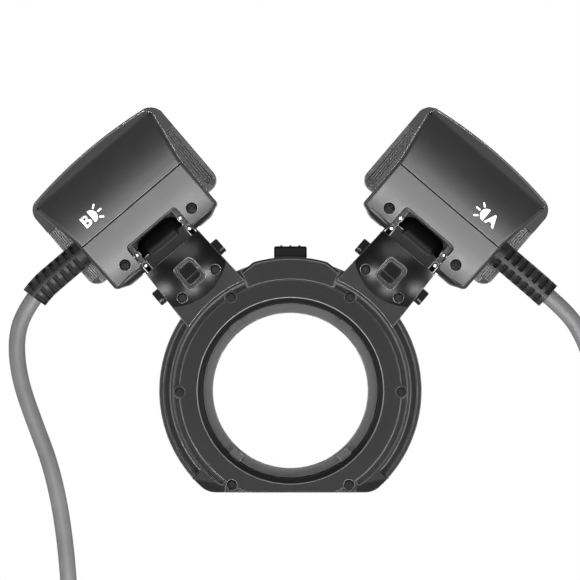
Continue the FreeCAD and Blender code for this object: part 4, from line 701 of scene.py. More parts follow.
@dataclass
class Shading:
    """The corner normals of a CAD mesh, to be laid on a copy with rounded edges."""

    source: bpy.types.Mesh
    reach: float = 0.00003

    def __post_init__(self) -> None:
        """Sorts the source's faces for the search."""
        corners, faces = self.source.corner_normals, self.source.polygons
        self.places = [vertex.co.copy() for vertex in self.source.vertices]
        self.faces = [tuple(face.vertices) for face in faces]
        self.normals = [[corners[n].vector.copy() for n in face.loop_indices] for face in faces]
        self.tree = BVHTree.FromPolygons(self.places, self.faces)

    def at(self, place: Vector, facing: Vector) -> Vector:
        """The source's normal beside a place, on the face that looks most like one of the copy's.

        Args:
            place: a point on the source's surface, or very near it.
            facing: the flat normal of the copy's face there.

        Returns:
            The smooth normal.
        """
        around = self.tree.find_nearest_range(place, self.reach) or [self.tree.find_nearest(place)]
        near, flat, face, _ = max(around, key=lambda found: found[1].dot(facing))
        shares = poly_3d_calc([self.places[n] for n in self.faces[face]], near)
        total = Vector((0.0, 0.0, 0.0))
        for share, normal in zip(shares, self.normals[face]):
            total += share * normal
        return total.normalized() if total.length > 0.1 else flat

    def weigh(self, form: Form, soft: bool) -> None:
        """Weighs the edges of a copy for rounding, where the form and the source's shading both break.

        Args:
            form: the copy.
            soft: whether its gentler outer edges are soft ones.
        """
        sharp_weight = form.edges.layers.float.new(SHARP_EDGE)
        soft_weight = form.edges.layers.float.new(SOFT_EDGE)
        for edge in form.edges:
            turn = edge.calc_face_angle(0.0) if len(edge.link_faces) == 2 else 0.0
            gentle = soft and edge.is_convex and SOFT_TURN[0] < turn < SOFT_TURN[1]
            if turn < SHARP_TURN and not gentle:
                continue
            middle = (edge.verts[0].co + edge.verts[1].co) / 2
            first, second = (self.at(middle, face.normal) for face in edge.link_faces)
            if first.angle(second, 0.0) > min(SHARP_TURN, turn) * SHADED_TURN:
                edge[soft_weight if gentle else sharp_weight] = 1.0

    def lay_on(self, mesh: bpy.types.Mesh) -> None:
        """Shades a copy's own faces as the source's, and blends its rounded edges between them.

        Args:
            mesh: the copy's mesh, whose own faces have its first material.
        """
        mesh.shade_smooth()
        corners = [Vector((0.0, 0.0, 0.0)) for _ in mesh.loops]
        beside: dict[int, list[Vector]] = {}
        for face in (face for face in mesh.polygons if face.material_index == 0):
            for loop in face.loop_indices:
                vertex = mesh.loops[loop].vertex_index
                corners[loop] = self.at(mesh.vertices[vertex].co, face.normal)
                beside.setdefault(vertex, []).append(corners[loop])
        for face in (face for face in mesh.polygons if face.material_index > 0):
            for loop in face.loop_indices:
                choices = beside.get(mesh.loops[loop].vertex_index)
                if choices:
                    corners[loop] = max(choices, key=face.normal.dot)
        mesh.normals_split_custom_set(corners)


def finished_copy(node: str, slot: Slot, width: float, broad: float = 0.0) -> Piece:
    """A CAD node's own shape with softened edges, which stands for the node.

    Args:
        node: the CAD node.
        slot: the material slot of its finish.
        width: the rounding of its sharp edges in millimetres, or 0 for none.
        broad: the rounding of its soft edges in millimetres, or 0 where it has none.

    Returns:
        The new piece, riding on the node's body.
    """
    source = node_object(node).data
    shading = Shading(source)
    form = bmesh.new()
    form.from_mesh(source)
    bmesh.ops.remove_doubles(form, verts=form.verts, dist=MERGE)
    bmesh.ops.dissolve_degenerate(form, edges=form.edges, dist=MERGE)
    for face in form.faces:
        face.material_index = 0
    level = [edge for edge in form.edges if len(edge.link_faces) == 2 and edge.calc_face_angle(1.0) < 0.001]
    bmesh.ops.beautify_fill(form, faces=form.faces, edges=level, method="ANGLE")
    shading.weigh(form, broad > 0)
    mesh = bpy.data.meshes.new(f"{node}_finish")
    form.to_mesh(mesh)
    form.free()
    own = PALETTE.material(slot)
    # The second material, on the sharp rounded edges, carries a painted highlight.
    for material in (own, PALETTE.edge(slot), own)[:3 if broad > 0 else 2]:
        mesh.materials.append(material)
    piece = new_object(mesh.name, mesh)
    if width > 0:
        softened(piece, width, broad)
    shading.lay_on(piece.data)
    return seated(piece, node)


def finished_copies(word: str, rounds: dict[str, tuple]) -> None:
    """Makes finished copies of nodes that start with a word, each with its slot and its edges' rounding."""
    for part, values in rounds.items():
        finished_copy(word + part, *values)


def lathe(profile: Outline, steps: int, matrix: Matrix = Matrix()) -> Form:
    """A turned form about Z from (radius, height) points, closed at radius 0.

    Args:
        profile: the outline, where radius 0 gives a single point.
        steps: how many faces go round.
        matrix: how the form is turned when it is made.

    Returns:
        The form.
    """
    form = bmesh.new()
    turns = [2 * math.pi * n / steps for n in range(steps)]
    rings = [[form.verts.new((radius * math.cos(a), radius * math.sin(a), height))
              for a in (turns if radius > 0 else turns[:1])] for radius, height in profile]
    for low, high in zip(rings, rings[1:]):
        for n in range(steps):
            corners = [(low, n), (low, n + 1), (high, n + 1), (high, n)]
            unique = list(dict.fromkeys(ring[place % len(ring)] for ring, place in corners))
            if len(unique) > 2:
                form.faces.new(unique)
    form.transform(matrix)
    return form


def bar(size: Place, centre: Place, width: float = 0.0) -> Form:
    """A block with rounded edges.

    Args:
        size: its three lengths.
        centre: its middle.
        width: the rounding of its edges.

    Returns:
        The form.
    """
    form = bmesh.new()
    bmesh.ops.create_cube(form, size=1.0)
    bmesh.ops.scale(form, vec=size, verts=form.verts)
    bmesh.ops.translate(form, vec=centre, verts=form.verts)
    if width > 0:
        bmesh.ops.bevel(form, geom=form.edges[:], offset=width, segments=2, affect="EDGES", profile=0.5)
    return form


@contextmanager
def template(form: Form, *cuts: Form, angle: float = SMOOTH_ANGLE) -> Iterator[Piece]:
    """Keeps a shape for a pattern to copy, and removes it afterwards.

    Args:
        form: the shape, in the pattern's own frame.
        cuts: the forms that are cut out of it.
        angle: degrees past which its edges stay sharp.

    Yields:
        The shape.
    """
    shape = formed("template", form)
    cutters = [formed("cutter", cut) for cut in cuts]
    for cutter in cutters:
        hollow = shape.modifiers.new("cut", "BOOLEAN")
        hollow.object = cutter
        hollow.operation = "DIFFERENCE"
        hollow.solver = "EXACT"
    if cutters:
        settle(shape)
    for cutter in cutters:
        bpy.data.objects.remove(cutter)
    smooth(shape, angle)
    yield shape
    bpy.data.objects.remove(shape)


# Patterns made with geometry nodes


class Pattern(Tree):
    """A geometry node tree that starts from points, with named inputs."""

    def __init__(self, name: str, **inputs: str) -> None:
        """Starts a tree.

        Args:
            name: the tree's name.
            inputs: each input's name and its socket's type.
        """
        super().__init__(bpy.data.node_groups.new(name, "GeometryNodeTree"))
        panel = self.tree.interface
        self.keys = {}
        for label, kind in {"Geometry": "Geometry", **inputs, "Material": "Material"}.items():
            socket = panel.new_socket(name=label, in_out="INPUT", socket_type=f"NodeSocket{kind}")
            self.keys[label] = socket.identifier
        panel.new_socket(name="Geometry", in_out="OUTPUT", socket_type="NodeSocketGeometry")
        self.source = self.add("NodeGroupInput").outputs
        self.end = self.add("NodeGroupOutput").inputs[0]

    def chance(self, **values: object) -> Socket:
        """A random value for each point, from the tree's seed."""
        node = self.add("FunctionNodeRandomValue", Seed=self.source["Seed"], **values)
        return next(s for s in node.outputs if s.enabled)

    def turned(self, **angle: Socket) -> Socket:
        """A turn about the axis that the angle is named for."""
        euler = self.add("ShaderNodeCombineXYZ", **angle).outputs[0]
        return self.add("FunctionNodeEulerToRotation", Euler=euler).outputs[0]

    def spread(self) -> bpy.types.Node:
        """The points that the tree starts from."""
        return self.add("GeometryNodeMeshToPoints", Mesh=self.source["Geometry"])

    def copies(self, points: bpy.types.Node, **values: Socket) -> "Pattern":
        """Ends the tree with a copy of its shape on each point, turned or scaled by the values."""
        shape = self.add("GeometryNodeObjectInfo", Object=self.source["Shape"]).outputs["Geometry"]
        return self.close("GeometryNodeInstanceOnPoints", Points=points.outputs[0], Instance=shape, **values)

    def close(self, kind: str, **values: object) -> "Pattern":
        """Ends the tree with real geometry and its material.

        Args:
            kind: the type of the node that gives the geometry.
            values: its values.

        Returns:
            The tree.
        """
        last = self.add(kind, **values).outputs[0]
        real = self.add("GeometryNodeRealizeInstances", Geometry=last).outputs[0]
        dressed = self.add("GeometryNodeSetMaterial", Geometry=real, Material=self.source["Material"])
        self.feed(dressed.outputs[0], self.end)
        return self

    def make(self, name: str, node: str, slot: Slot | None, matrix: Matrix,
             places: tuple[Vector, ...] = ORIGIN, stands: bool = False, **values: object) -> Piece:
        """Runs the tree and seats the result.

        Args:
            name: the piece's name.
            node: the CAD node on whose body it rides.
            slot: the record's slot of its finish, or None for a small extra.
            matrix: from the pattern's own frame to the row frame.
            places: the points that the tree starts from.
            stands: whether the piece stands for the node.
            values: the inputs by name, of which Material follows from the slot.

        Returns:
            The piece, at the origin, with its place in its mesh.
        """
        mesh = bpy.data.meshes.new(name)
        mesh.from_pydata([tuple(place) for place in places], [], [])
        piece = new_object(name, mesh)
        modifier = piece.modifiers.new("pattern", "NODES")
        modifier.node_group = self.tree
        if slot is not None:
            values["Material"] = PALETTE.material(slot)
        for key, value in values.items():
            modifier[self.keys[key]] = value
        settle(piece).data.transform(matrix)
        return seated(piece, node, stands)


@cache
def seats() -> Pattern:
    """Puts a shape on each point, turned about y by a seeded angle.

    Returns:
        The tree.
    """
    tree = Pattern("seats", Shape="Object", Seed="Int")
    turn = tree.chance(data_type="FLOAT", Min=0.0, Max=math.pi)
    return tree.copies(tree.spread(), Rotation=tree.turned(Y=turn))


@cache
def board_field() -> Pattern:
    """Puts a shape of a seeded size on each point, as parts on a board.

    Returns:
        The tree.
    """
    tree = Pattern("parts", Shape="Object", Seed="Int")
    size = tree.chance(data_type="FLOAT_VECTOR", Min=(0.5, 0.35, 0.4), Max=(1.2, 1.0, 1.1))
    return tree.copies(tree.spread(), Scale=size)


@cache
def straight_row() -> Pattern:
    """Copies of a shape in a straight row along x, about the middle.

    Returns:
        The tree.
    """
    tree = Pattern("row", Shape="Object", Count="Int", Pitch="Float")
    count, pitch = tree.source["Count"], tree.source["Pitch"]
    start = tree.maths("MULTIPLY", tree.maths("MULTIPLY", tree.maths("SUBTRACT", count, 1.0), pitch), -0.5)
    begin, step = (tree.add("ShaderNodeCombineXYZ", X=length).outputs[0] for length in (start, pitch))
    return tree.copies(tree.add("GeometryNodeMeshLine", Count=count, Start_Location=begin, Offset=step))


@cache
def round_row() -> Pattern:
    """Copies of a shape round z, each turned to face outwards.

    Returns:
        The tree.
    """
    tree = Pattern("round", Shape="Object", Count="Int", Radius="Float")
    index = tree.add("GeometryNodeInputIndex").outputs[0]
    angle = tree.maths("MULTIPLY", tree.maths("DIVIDE", index, tree.source["Count"]), 2 * math.pi)
    ring = tree.add("GeometryNodeMeshCircle", Vertices=tree.source["Count"], Radius=tree.source["Radius"])
    return tree.copies(ring, Rotation=tree.turned(Z=angle))


@cache
def winding() -> Pattern:
    """A wire wound about z, from height 0 up.

    Returns:
        The tree.
    """
    tree = Pattern("winding", Turns="Float", Radius="Float", Height="Float", Wire="Float", Steps="Int")
    source = tree.source
    spiral = tree.add("GeometryNodeCurveSpiral", Resolution=source["Steps"], Rotations=source["Turns"],
                      Start_Radius=source["Radius"], End_Radius=source["Radius"], Height=source["Height"])
    ring = tree.add("GeometryNodeCurvePrimitiveCircle", Resolution=8, Radius=source["Wire"])
    wire = tree.add("GeometryNodeCurveToMesh", Curve=spiral.outputs[0], Profile_Curve=ring.outputs[0],
                    Fill_Caps=True)
    return tree.close("GeometryNodeSetShadeSmooth", Geometry=wire.outputs[0])


# The studio


@dataclass
class Softbox:
    """One flat lamp that looks at the object."""

    name: str
    place: Place
    aim_z: float
    width: float
    height: float
    power: float

    def build(self) -> None:
        """Adds the lamp to the scene."""
        light = bpy.data.lights.new(self.name, "AREA")
        light.shape = "RECTANGLE"
        light.size = self.width
        light.size_y = self.height
        light.energy = self.power
        lamp = new_object(self.name, light)
        lamp.location = self.place
        aim = Vector((0.0, 0.0, self.aim_z)) - Vector(self.place)
        lamp.rotation_euler = aim.to_track_quat("-Z", "Y").to_euler()
        lamp.visible_camera = False


LAMPS = (
    Softbox("rear_lamp", (0.0, -1.4, 0.09), 0.05, 0.8, 0.26, 11.5),
    Softbox("left_low", (-0.12, -0.62, -0.26), 0.05, 0.1, 0.07, 2.3),
    Softbox("right_low", (0.12, -0.62, -0.26), 0.05, 0.1, 0.07, 2.3),
    Softbox("left_quarter", (-0.44, -1.03, -0.245), 0.05, 0.1, 0.1, 7.0),
    Softbox("right_quarter", (0.44, -1.03, -0.245), 0.05, 0.1, 0.1, 7.0),
    Softbox("left_lamp", (-1.6, -0.3, 0.25), 0.04, 0.5, 1.2, 9.0),
    Softbox("right_lamp", (1.6, -0.3, 0.25), 0.04, 0.5, 1.2, 9.0),
    Softbox("top_lamp", (0.0, -0.3, 1.7), 0.04, 1.0, 0.6, 2.2),
    Softbox("front_lamp", (0.0, 1.9, 0.6), 0.04, 0.8, 0.4, 18.0),
)


@dataclass
class Studio:
    """Camera, lamps, pale surroundings and floor."""

    camera_place: Place = (-0.00015, -2.7, 0.03775)
    frame_width: float = 0.21808
    sensor: float = 36.0
    floor_z: float = -0.4
    floor_reach: float = 2.0
    fill: float = 0.2
    room: float = 0.3
    room_from: float = -0.9
    room_to: float = 0.5

    def build(self) -> None:
        """Makes the camera, the surroundings, the lamps and the floor."""
        self.make_camera()
        self.make_surroundings()
        for lamp in LAMPS:
            lamp.build()
        form = bmesh.new()
        bmesh.ops.create_grid(form, x_segments=8, y_segments=8, size=self.floor_reach)
        level = Matrix.Translation((0.0, 0.0, self.floor_z))
        formed("floor", form, level, FloorPaper().build("floor_paper"))
        bpy.context.scene.view_settings.view_transform = "Standard"
        LOG.info("studio with %d lamps", len(LAMPS))

    def make_camera(self) -> None:
        """Makes the camera level with the object, behind it."""
        data = bpy.data.cameras.new("camera")
        data.sensor_width = self.sensor
        data.lens = self.sensor * -self.camera_place[1] / self.frame_width
        data.clip_start = 0.1
        data.clip_end = 20.0
        camera = new_object("camera", data)
        camera.location = self.camera_place
        camera.rotation_euler = (math.pi / 2, 0.0, 0.0)
        bpy.context.scene.camera = camera

    def make_surroundings(self) -> None:
        """Makes a white surround, dimmer behind the camera where it is mirrored, and with a low fill."""
        world = bpy.data.worlds.new("surround")
        world.use_nodes = True
        bpy.context.scene.world = world
        tree = Tree(world.node_tree)
        direction = tree.add("ShaderNodeTexCoord").outputs["Generated"]
        along = tree.add("ShaderNodeSeparateXYZ", Vector=direction).outputs["Y"]
        seen, mirrored = tree.seen()
        behind = tree.span(along, self.room_from, self.room_to, self.room, 1.0)
        glossy = tree.maths("MULTIPLY", mirrored, behind)
        strength = tree.maths("MAXIMUM", tree.maths("MAXIMUM", seen, glossy), self.fill)
        light = tree.add("ShaderNodeBackground", Color=(1.0, 1.0, 1.0, 1.0), Strength=strength)
        tree.add("ShaderNodeOutputWorld", Surface=light.outputs[0])


# Cords and plugs


@dataclass
class LockingPlug:
    """Round locking plug: bend boot, body, turning collar, metal nose and five pins."""

    node: str
    top: Vector
    boot: float = 13.0
    boot_grooves: int = 4
    body_grooves: int = 5
    body_end: float = 30.0
    collar_end: float = 39.0
    nose_end: float = 47.0
    cord_radius: float = 3.15
    body_radius: float = 6.6
    collar_radius: float = 7.4
    nose_radius: float = 5.2
    bore_radius: float = 4.2
    bore_depth: float = 6.5
    pin_radius: float = 0.45
    pin_circle: float = 2.5
    pins: int = 5
    ribs: int = 24

    def build(self) -> list[Piece]:
        """Makes the plug's pieces.

        Returns:
            The pieces, in place, riding on the head.
        """
        matrix = Matrix.Translation(self.top) @ Matrix.Rotation(math.pi, 4, "X") @ SCALE
        pieces = []
        for word, form, slot in (("shell", self.shell_form(), Slot.PLUG),
                                 ("nose", self.nose_form(), Slot.HOOK)):
            piece = formed(f"{self.node}_{word}", form, matrix, PALETTE.material(slot))
            smooth(piece, PLUG_ANGLE)
            piece.modifiers.new("flat", "WEIGHTED_NORMAL").keep_sharp = True
            pieces.append(seated(settle(piece), self.node, word == "shell"))
        start, end = self.body_end, self.collar_end
        rib = bar((0.5, 0.9, end - start - 2.6), (0.0, 0.0, (start + end) / 2), 0.2)
        r, low, tip = self.pin_radius, self.nose_end - self.bore_depth - 0.4, self.nose_end - 1.0
        pin = lathe([(0, low), (r, low), (r, tip - 0.4), (r * 0.85, tip - 0.12), (r * 0.5, tip), (0, tip)],
                    12)
        for word, form, slot, count, radius in (
                ("collar_ribs", rib, Slot.PLUG, self.ribs, self.collar_radius - 0.2),
                ("pins", pin, Slot.RACK, self.pins, self.pin_circle)):
            with template(form) as shape:
                pieces.append(round_row().make(f"{self.node}_{word}", self.node, slot, matrix, Shape=shape,
                                               Count=count, Radius=radius))
        return pieces

    def shell_form(self) -> Form:
        """The boot with its bend grooves, the gripped body and the collar.

        Returns:
            The form.
        """
        thin, body, wide = self.cord_radius + 0.6, self.body_radius, self.collar_radius
        end, stop = self.body_end, self.collar_end
        outline = [(0.0, 0.05), (thin - 0.25, 0.05), (thin, 0.3)]
        pitch = (self.boot - 2.0) / self.boot_grooves
        grow = (body - 1.2 - thin) / self.boot_grooves
        for n in range(self.boot_grooves):
            z, r = 1.0 + n * pitch, thin + (n + 0.6) * grow
            outline += [(r - 0.1, z), (r, z + 0.25), (r + grow * 0.5, z + pitch - 1.1),
                        (r + grow * 0.5 - 0.1, z + pitch - 0.85), (r - 0.5, z + pitch - 0.8),
                        (r - 0.5, z + pitch - 0.25)]
        outline += [(body - 1.3, self.boot - 0.2), (body - 0.3, self.boot + 0.15), (body, self.boot + 0.8)]
        for n in range(self.body_grooves):
            z = self.boot + 3.6 + n * 1.9
            outline += [(body, z), (body - 0.3, z + 0.15), (body - 0.3, z + 0.75), (body, z + 0.9)]
        outline += [(body, end - 0.5), (body - 0.35, end - 0.4), (body - 0.35, end), (body, end + 0.1),
                    (wide - 0.25, end + 0.6), (wide - 0.05, end + 0.85), (wide - 0.05, end + 1.0),
                    (wide - 0.35, end + 1.15), (wide - 0.35, stop - 1.15), (wide - 0.05, stop - 1.0),
                    (wide - 0.05, stop - 0.75), (wide - 0.4, stop - 0.4), (self.nose_radius + 0.2, stop),
                    (self.nose_radius - 0.6, stop), (0.0, stop)]
        return lathe(outline, 64)

    def nose_form(self) -> Form:
        """The metal tube round the pins, with its insulating floor.

        Returns:
            The form.
        """
        r, hole, start, end = self.nose_radius, self.bore_radius, self.collar_end - 0.5, self.nose_end
        floor = end - self.bore_depth
        outline = [(0.0, start), (r - 0.05, start), (r - 0.05, end - 2.4), (r - 0.3, end - 2.2),
                   (r - 0.3, end - 1.7), (r - 0.05, end - 1.5), (r - 0.05, end - 0.4),
                   (r - 0.25, end - 0.05), (hole + 0.2, end - 0.05), (hole, end - 0.3), (hole, floor),
                   (0.0, floor)]
        return lathe(outline, 56)


@dataclass
class CordRun:
    """One round cord from its strain relief to its plug."""

    side: Side
    length: float
    route: tuple[Place, ...]
    diameter: float = 0.0063

    def build(self) -> None:
        """Makes the cord and its plug."""
        node = self.side.node("cord")
        curve = bpy.data.curves.new(node, "CURVE")
        curve.dimensions = "3D"
        curve.bevel_depth = self.diameter / 2
        curve.bevel_resolution = 7
        curve.use_fill_caps = True
        curve.resolution_u = 14
        spline = curve.splines.new("NURBS")
        spline.points.add(len(self.route) - 1)
        for place, point in zip(self.route, spline.points):
            point.co = (*place, 1.0)
        spline.order_u = 3
        spline.use_endpoint_u = True
        curve.materials.append(PALETTE.material(Slot.CORD))
        cord = seated(new_object(f"{node}_line", curve), node)
        plug = LockingPlug(self.side.node("plug"), Vector(self.route[-1])).build()


CORDS = (
    CordRun(Side.LEFT, 0.3197, (
        (-0.09607, -0.004, 0.03487), (-0.1, -0.004, 0.0293), (-0.1027, -0.0042, 0.021),
        (-0.1026, -0.0048, 0.011), (-0.1004, -0.0056, 0.0004), (-0.0956, -0.0068, -0.0128),
        (-0.0894, -0.0086, -0.029), (-0.0848, -0.011, -0.051), (-0.0822, -0.0136, -0.08),
        (-0.0816, -0.0158, -0.116), (-0.0826, -0.017, -0.158), (-0.0842, -0.0174, -0.2),
        (-0.0854, -0.017, -0.241), (-0.0854, -0.017, -0.28),
    )),
    CordRun(Side.RIGHT, 0.3241, (
        (0.09675, -0.004, 0.03552), (0.1037, -0.004, 0.0296), (0.1096, -0.0034, 0.021),
        (0.1138, -0.002, 0.0096), (0.1164, 0.0004, -0.0064), (0.117, 0.0034, -0.026),
        (0.1162, 0.0064, -0.052), (0.115, 0.0088, -0.084), (0.1144, 0.0102, -0.122),
        (0.1148, 0.0108, -0.163), (0.1158, 0.0108, -0.204), (0.1166, 0.0104, -0.244),
        (0.1166, 0.0104, -0.282),
    )),
)


# Screws and springs


@dataclass(frozen=True)
class ScrewSize:
    """One size of cross-slotted screw, in millimetres."""

    head_radius: float
    head: float
    shank_radius: float
    shank: float
    slot_reach: float = 0.56
    slot_half: float = 0.13
    slot_depth: float = 0.55

    def form(self) -> Form:
        """The screw with its head's outer face at y = -head and its seat at y = 0.

        Returns:
            The form.
        """
        r, h, thin, long = self.head_radius, self.head, self.shank_radius, self.shank
        outline = [(0.0, long), (thin, long), (thin, 0.0), (r - 0.08, 0.0), (r, -0.1), (r, -h + 0.32),
                   (r - 0.1, -h + 0.1), (r - 0.34, -h), (r * 0.74, -h), (r * 0.7, -h + 0.05),
                   (r * 0.66, -h + 0.05), (r * 0.62, -h), (0.0, -h - 0.01)]
        return lathe(outline, 40, TO_LENS)

    def cross(self) -> tuple[Form, Form]:
        """Makes what cuts its cross slot.

        Returns:
            Two bars.
        """
        reach, half = (2 * share * self.head_radius for share in (self.slot_reach, self.slot_half))
        depth, top = 2 * self.slot_depth * self.head, (0.0, -self.head - 0.02, 0.0)
        return bar((reach, depth, half), top), bar((half, depth, reach), top)

    def build(self, node: str, places: tuple[Vector, ...], matrix: Matrix, seed: int) -> None:
        """Replaces a CAD node of screws with detailed ones, whose heads' under sides lie on the places."""
        with template(self.form(), *self.cross()) as shape:
            seats().make(f"{node}_set", node, Slot.SCREW, matrix, places, True, Shape=shape, Seed=seed)


@dataclass(frozen=True)
class SpringSize:
    """One size of wound spring, which starts at its frame's origin and runs along z, in millimetres."""

    length: float
    wire: float
    turns: float
    travel: float
    radius: float = 1.9

    def build(self, name: str, node: str, matrix: Matrix, joint: str, axis: Vector) -> None:
        """Makes the spring.

        Args:
            name: the piece's name.
            node: the CAD node that it stands for.
            matrix: from the spring's own frame to the row frame.
            joint: the button's joint; not used.
            axis: the button's line of travel, in the row frame; not used.
        """
        coil = winding().make(name, node, Slot.SPRING, matrix @ Matrix.Translation((0.0, 0.0, self.wire)),
                              stands=True, Turns=self.turns, Radius=self.radius - self.wire,
                              Height=self.length - 2 * self.wire, Wire=self.wire, Steps=28)
        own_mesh(coil)


# The ring


@dataclass
class RingUnit:
    """The ring that clips on the lens, with its button, hooks, plates and screws."""

    screw_circle: float = 41.5
    screw_angles: tuple[float, ...] = (32.5, 90.7, 148.1)
    screw_seat_y: float = -7.75
    screw: ScrewSize = ScrewSize(1.75, 1.0, 0.9, 11.5)
    screw_seed: int = 11
    spring: SpringSize = SpringSize(3.2, 0.24, 3.5, 2.02)
    spring_start: Place = (0.0, -0.5, 43.6)

    def build(self) -> None:
        """Makes and dresses the ring's pieces, its six plate screws and the spring under the button."""
        finished_copies("", {
            "ring_body": (Slot.RING, 0.26), "rear_plate": (Slot.PLATE, 0.22),
            "front_ring": (Slot.FRONT, 0.26), "release_button": (Slot.BUTTON, 0.16),
            "upper_hook_left": (Slot.HOOK, 0.15), "upper_hook_right": (Slot.HOOK, 0.15),
            "lower_hooks": (Slot.HOOK, 0.15), "index_racks": (Slot.RACK, 0.0),
        })
        dressed_node("release_yoke", Slot.HOOK)
        turns = [math.radians(sign * angle) for angle in self.screw_angles for sign in (-1, 1)]
        places = tuple(Vector((self.screw_circle * math.sin(turn), self.screw_seat_y,
                               self.screw_circle * math.cos(turn))) for turn in turns)
        self.screw.build("plate_screws", places, SCALE, self.screw_seed)
        start = SCALE @ Matrix.Translation(self.spring_start)
        self.spring.build("release_spring_coil", "release_spring", start, "release_press",
                          Vector((0.0, 0.0, 1.0)))


# A holder


@dataclass
class Holder:
    """One sliding holder with its hinge, buttons and springs."""

    side: Side
    screw_t: float = 8.1
    screw_r: float = 52.8
    screw_seat_y: float = -10.4
    screw: ScrewSize = ScrewSize(1.7, 0.9, 0.8, 12.6)
    screw_seed: int = 23
    latch_spring: SpringSize = SpringSize(6.0, 0.26, 5.5, 1.2)
    latch_spring_start: Place = (0.0, -2.8, 57.9)
    side_spring: SpringSize = SpringSize(3.5, 0.24, 3.5, 1.4)
    side_spring_start: Place = (6.0, -4.0, 58.5)

    def build(self) -> None:
        """Makes and dresses the holder's pieces, its two screws and the springs behind its three buttons."""
        node, matrix = self.side.node, self.side.matrix
        finished_copies(node(""), {
            "holder_cover": (Slot.COVER, 0.26), "holder_frame": (Slot.FRAME, 0.26),
            "latch_button": (Slot.BUTTON, 0.22), "inner_button": (Slot.BUTTON, 0.2),
            "outer_button": (Slot.BUTTON, 0.2), "hinge_pin": (Slot.PIN, 0.1),
        })
        dressed_node(node("index_plunger"), Slot.PIN)
        places = tuple(Vector((sign * self.screw_t, self.screw_seat_y, self.screw_r)) for sign in (-1, 1))
        self.screw.build(node("holder_screws"), places, matrix, self.screw_seed + self.side.value)
        start = matrix @ Matrix.Translation(self.latch_spring_start) @ Matrix.Rotation(math.pi / 2, 4, "X")
        self.latch_spring.build(node("latch_spring_coil"), node("latch_spring"), start, node("latch_press"),
                                Vector((0.0, 1.0, 0.0)))
        for word, sign in (("inner", -self.side.value), ("outer", self.side.value)):
            t, y, r = self.side_spring_start
            turn = Matrix.Rotation(sign * math.pi / 2, 4, "Y")
            start = matrix @ Matrix.Translation((sign * t, y, r)) @ turn
            self.side_spring.build(node(f"{word}_spring_coil"), node("side_springs"), start,
                                   node(f"{word}_press"), matrix.to_3x3() @ Vector((sign, 0.0, 0.0)))


# A head


